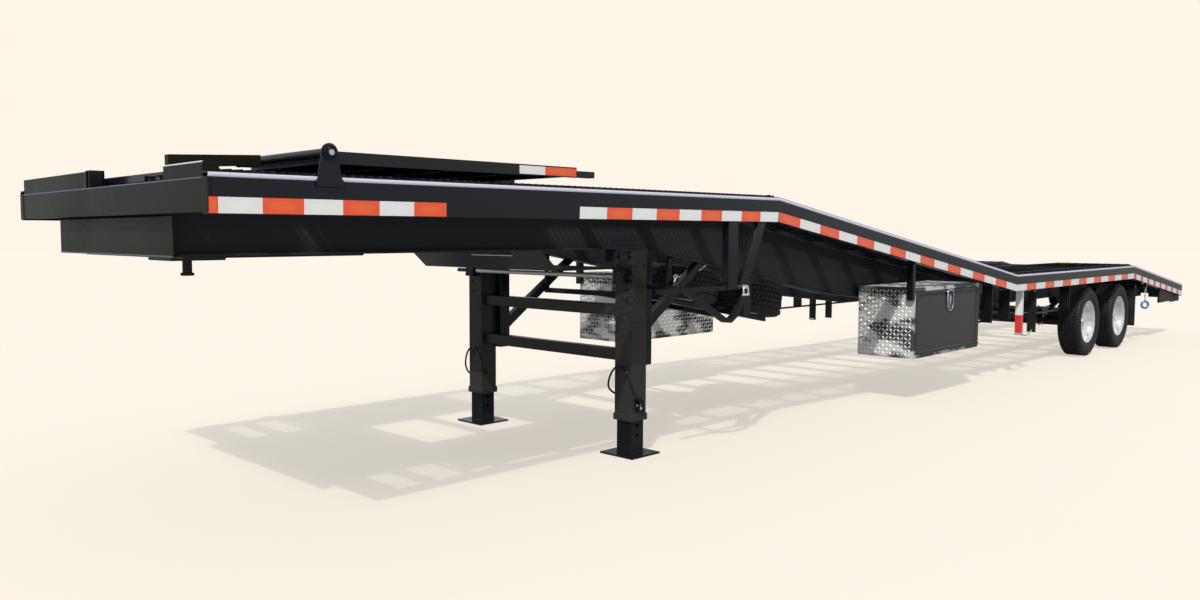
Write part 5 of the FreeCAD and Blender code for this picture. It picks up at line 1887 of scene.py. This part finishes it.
# ---- rear end
@dataclass
class RearEnd:
    """Marker posts, flaps, lamps and the tail."""

    paint: Finishes
    bolts: Bolts
    chain: Chain
    deck: DeckLine
    post_x: tuple[float, float] = (1.19, 1.25)
    post_start: float = 8.94
    post_depth: float = 0.055
    post_split: float = 0.64
    post_foot: float = 0.452
    post_head: float = 0.898
    # inner and outer x, station, foot, head
    boards: tuple[tuple[float, float, float, float, float], ...] = (
        (1.17, 1.26, 9.34, 0.43, 0.905), (0.93, 1.26, 12.999, 0.26, 0.81))
    ribs: int = 10
    rib_pitch: float = 0.022
    ring_x: float = 1.262
    ring_station: float = 13.452
    flank_x: tuple[float, float] = (1.238, 1.262)
    tail_flank: tuple[Point, ...] = ((14.16, 14.79, 0.512), (14.795, 15.232, 0.495))
    end: float = 15.24
    strip: float = 0.15
    strip_start: float = -1.2
    strip_count: int = 16
    strip_z: tuple[float, float] = (0.64, 0.69)
    # where the lamps and the number plate leave no room for tape
    gaps: tuple[tuple[float, float], ...] = ((-0.35, 0.35), (0.4, 0.76))

    def markers(self) -> None:
        """Posts with white over red tape and a bright shoe."""
        steel("marker_posts", Edge.PLATE, self.paint.black)
        inner, outer = self.post_x
        near, far = self.post_start, self.post_start + self.post_depth
        for colour, low, high in (("white", self.post_split, self.post_head),
                                  ("red", self.post_foot, self.post_split)):
            laid = Strips()
            laid.strip(inner, outer, low, high, lambda x, z: place(x, near, z), (0, -1, 0))
            for sign in SIGNS:
                laid.strip(near, far, low, high, lambda s, z: place(sign * outer, s, z),
                          (sign, 0, 0))
            laid.lay(f"marker_tape_{colour}", getattr(self.paint, colour))
        shoe = Stock()
        for sign in SIGNS:
            shoe.block((sign * (inner - 0.003), near - 0.003, 0.427),
                       (sign * (outer + 0.003), far + 0.003, 0.451))
        shoe.lay("marker_shoes", self.paint.zinc, "rod_steel", edge=0.002)

    def flaps(self) -> None:
        """Narrow boards behind the marker posts and ribbed flaps behind the wheels."""
        boards, clamps = Stock(), Stock()
        spots: Spots = []
        for sign in SIGNS:
            for inner, outer, station, foot, head in self.boards:
                x0, x1 = sorted((sign * inner, sign * outer))
                boards.block((x0, station, foot), (x1, station + 0.008, head))
                for z in (foot + 0.02 + k * self.rib_pitch for k in range(self.ribs)):
                    boards.block((x0 + 0.01, station - 0.0022, z),
                                 (x1 - 0.01, station + 0.0005, z + 0.007))
                clamps.block((x0 + 0.004, station - 0.006, head - 0.042),
                             (x1 - 0.004, station - 0.0001, head - 0.008))
                spots += [((x0 + share * (x1 - x0), station - 0.006, head - 0.025),
                           Facing.FRONT) for share in (0.2, 0.8)]
        boards.lay("mud_flap_rubbers", self.paint.flap, "flap_rubber", edge=0.0012,
                   instead=["mud_flaps"])
        clamps.lay("flap_clamp_strips", self.paint.black, "black_paint", edge=0.0012)
        self.bolts.grow("flap_bolts", spots, 0.014, self.paint.zinc)

    def lamps(self) -> None:
        """Lens clusters in rubber grommets, small lamps and a bare plate on the tail beam."""
        lens, seat = Stock(), Stock()
        back = (0, 1, 0)
        for x in (sign * (0.925 + 0.095 * k) for sign in SIGNS for k in range(3)):
            centre = place(x, 15.2275, 0.5615)
            lens.lathe([(0.0, 0.0), (0.0, 0.0235), (0.006, 0.0235), (0.009, 0.019),
                        (0.0105, 0.0)], centre, 36, back)
            seat.lathe([(-0.002, 0.0225), (-0.002, 0.0275), (0.005, 0.0275),
                        (0.0065, 0.025), (0.005, 0.0232)], centre, 36, back)
        for x in (-0.155, 0.0, 0.155):
            centre = place(x, self.end, 0.65)
            lens.lathe([(0.0, 0.0), (0.0, 0.02), (0.009, 0.018), (0.012, 0.0)], centre, 32,
                       back)
            seat.lathe([(-0.001, 0.019), (-0.001, 0.026), (0.004, 0.026), (0.004, 0.019)],
                       centre, 32, back)
        steel("tail_lamps", Edge.PLATE, self.paint.black)
        lens.lay("lamp_lenses", self.paint.lens, "lamp_red", smooth=50)
        seat.lay("lamp_grommets", self.paint.plastic, "flap_rubber", smooth=50)
        plate = Stock()
        plate.block((0.42, self.end, 0.572), (0.725, self.end + 0.0025, 0.725))
        plate.lay("blank_plate", self.paint.zinc, "rod_steel", edge=0.001)
        self.bolts.grow("plate_bolts", [((x, self.end + 0.0025, 0.705), Facing.BACK)
                                        for x in (0.48, 0.665)], 0.01, self.paint.zinc)

    def tail_tape(self) -> None:
        """Red and white tape across the tail beam."""
        for first, colour in enumerate(("red", "white")):
            laid = Strips()
            for k in range(first, self.strip_count, 2):
                x = self.strip_start + k * self.strip
                if not any(low < x + self.strip / 2 < high for low, high in self.gaps):
                    laid.strip(x, x + self.strip, *self.strip_z,
                              lambda px, z: place(px, self.end, z), (0, 1, 0))
            laid.lay(f"tail_tape_{colour}", getattr(self.paint, colour))

    def rings(self) -> None:
        """A tinted ring on a short chain under each rail's tail, from a welded clip."""
        ring, clip = Stock(), Stock()
        for x in (sign * self.ring_x for sign in SIGNS):
            clip.block((x - 0.012, self.ring_station - 0.03, 0.76),
                       (x + 0.012, self.ring_station + 0.03, 0.822))
            centre = place(x, self.ring_station, 0.522)
            ring.tube([centre + Vector((0.03 * math.sin(a), 0.036 * math.sin(a),
                                        0.046 * math.cos(a)))
                       for a in (math.radians(t) for t in range(0, 361, 15))], 0.015)
        ring.lay("tail_rings", self.paint.ring, "rod_steel", smooth=60)
        clip.lay("ring_clips", self.paint.black, "black_paint", edge=0.003)

    def flanks(self) -> None:
        """Side plates that close the tail under each rail, the last one of rubber."""
        deep = self.deck.rail_height / math.cos(self.deck.angles()[3]) - 0.001
        # the side plates take the painted sunlit olive black
        for (start, stop, foot), name, finish in zip(
                self.tail_flank, ("tail_side_plates", "tail_bumpers"),
                (self.paint.nose, self.paint.plastic)):
            stock = Stock()
            for sign in SIGNS:
                low, high = sorted(sign * x for x in self.flank_x)
                stock.plate([(low, start, foot), (low, stop, foot),
                             (low, stop, self.deck.height(stop) - deep),
                             (low, start, self.deck.height(start) - deep)],
                            (high - low, 0, 0))
            stock.lay(name, finish, "black_paint", edge=0.002)

    def tag(self) -> None:
        """A short yellow strap end left on the lower deck."""
        stock = Stock()
        stock.plate([(0.42, 12.62, 1.098), (0.54, 12.66, 1.098), (0.53, 12.71, 1.104),
                     (0.41, 12.67, 1.104)], (0, 0, 0.006))
        stock.lay("strap_end", self.paint.yellow, edge=0.001)

    def build(self) -> None:
        """Make the rear end."""
        self.markers()
        self.flaps()
        self.lamps()
        self.tail_tape()
        self.rings()
        self.flanks()
        self.tag()
        self.chain.hang("flap_chain", [((1.225, 8.998, 0.44), (1.22, 9.336, 0.444), 0.03)])
        self.chain.hang("ring_chains", [((sign * self.ring_x, self.ring_station, 0.765),
                                         (sign * self.ring_x, self.ring_station, 0.572), 0.0)
                                        for sign in SIGNS])


# ---- studio
@dataclass
class Studio:
    """Pale floor, soft lights and the camera."""

    floor_size: float = 160.0
    floor_top: float = -0.004
    floor_deep: float = 0.056
    cream: Colour = (0.985, 0.913, 0.81)
    # how much of that the lit floor gives back, from place to place
    lit: tuple[float, float] = (0.835, 0.83)
    # what shiny pieces see of the floor
    ground: Colour = (0.06, 0.072, 0.095)
    sky: Colour = (0.86, 0.92, 1.0)
    sky_strength: float = 0.62
    # name, strength and width in degrees
    suns: tuple[tuple[str, float, float], ...] = (("sun", 1.85, 0.7), ("bright_cloud", 1.1, 9.0))
    sun_aim: Point = (-0.42, 0.74, -0.92)
    sun_colour: Colour = (1.0, 0.965, 0.91)
    focal: float = 949.7
    centre: tuple[float, float] = (533.2, 299.2)
    eye: Point = (5.012, -1.69, 1.502)
    yaw: float = 46.764
    pitch: float = -3.947
    width: float = 1200.0
    height: float = 600.0
    sensor: float = 36.0
    far: float = 400.0

    def floor(self) -> None:
        """A wide floor that keeps the trailer's shadow."""
        half = self.floor_size / 2
        stock = Stock()
        stock.slab([(x, y, self.floor_top - self.floor_deep) for x, y in (
            (-half, -half), (half, -half), (half, half), (-half, half))],
            (0, 0, self.floor_deep))
        tree = ShaderTree("pale_floor")
        tree.paint(Base_Color=tree.mix(tree.noise(0.6).band(0.3, 0.7),
                                       *(toned(self.cream, share) for share in self.lit)),
                   Roughness=0.9, Specular_IOR_Level=0.0)
        below = Sock(tree, tree.surface.outputs[0])
        for rays, share, colour in (("Is Camera Ray", 0.55, self.cream),
                                    ("Is Glossy Ray", 0.72, self.ground),
                                    ("Is Diffuse Ray", 0.6, self.ground)):
            glow = tree.add("ShaderNodeEmission", None, {"Color": colour, "Strength": 1.0})
            seen = tree.add("ShaderNodeLightPath", output=rays) * share
            below = tree.add("ShaderNodeMixShader", None, {0: seen, 1: below, 2: glow})
        tree.end(below)
        stock.piece("floor", tree.material)

    def world(self) -> None:
        """A pale surround: cream where it is seen, neutral where it lights."""
        bpy.context.scene.world = bpy.data.worlds.new("surround")
        tree = ShaderTree("surround", bpy.context.scene.world)
        light, seen = (tree.add("ShaderNodeBackground", None, {"Color": colour, "Strength": power})
                       for colour, power in ((self.sky, self.sky_strength), (self.cream, 1.0)))
        tree.end(tree.add("ShaderNodeMixShader", None, {
            0: tree.add("ShaderNodeLightPath", output="Is Camera Ray"), 1: light, 2: seen}))

    def lights(self) -> None:
        """A clear sun in a bright haze, from ahead and above on the left."""
        for name, energy, angle in self.suns:
            sun = bpy.data.lights.new(name, "SUN")
            sun.energy = energy
            sun.angle = math.radians(angle)
            sun.color = self.sun_colour
            shown(name, sun).rotation_euler = Vector(self.sun_aim).to_track_quat(
                "-Z", "Y").to_euler()

    def camera(self) -> None:
        """Camera at the nose's left, at eye height."""
        data = bpy.data.cameras.new("camera")
        data.sensor_width = self.sensor
        data.lens = self.focal / self.width * self.sensor
        data.shift_x = (self.width / 2 - self.centre[0]) / self.width
        data.shift_y = (self.centre[1] - self.height / 2) / self.width
        data.clip_end = self.far
        camera = shown("camera", data)
        yaw, pitch = math.radians(self.yaw), math.radians(self.pitch)
        ahead = Vector((-math.sin(yaw) * math.cos(pitch), math.cos(yaw) * math.cos(pitch),
                        math.sin(pitch)))
        camera.location = place(*self.eye)
        camera.rotation_euler = ahead.to_track_quat("-Z", "Y").to_euler()
        bpy.context.scene.camera = camera

    def build(self) -> None:
        """Set the stage."""
        self.floor()
        self.world()
        self.lights()
        self.camera()
        bpy.context.scene.view_settings.view_transform = "Standard"


def main() -> None:
    """Build the trailer's looks in order."""
    logging.basicConfig(level=logging.INFO, format="%(message)s")
    paint, growers, deck = Finishes(), Growers(), DeckLine()
    bolts, chain, wheel = Bolts(growers), Chain(paint, growers), Wheel(paint, growers)
    Studio().build()
    Steelwork(paint).build()
    RailTrim(paint, deck).build()
    Runways(paint, growers, deck).build()
    wheel.build()
    for side in Side:
        Toolbox(paint, growers, side).build()
    Nose(paint, bolts).build()
    FlipRamps(paint, growers).build()
    LegFittings(paint, bolts).build()
    SpareWheels(paint, wheel, chain).build()
    RunningGear(paint, bolts).build()
    RearEnd(paint, bolts, chain, deck).build()


if __name__ == "__main__":
    main()
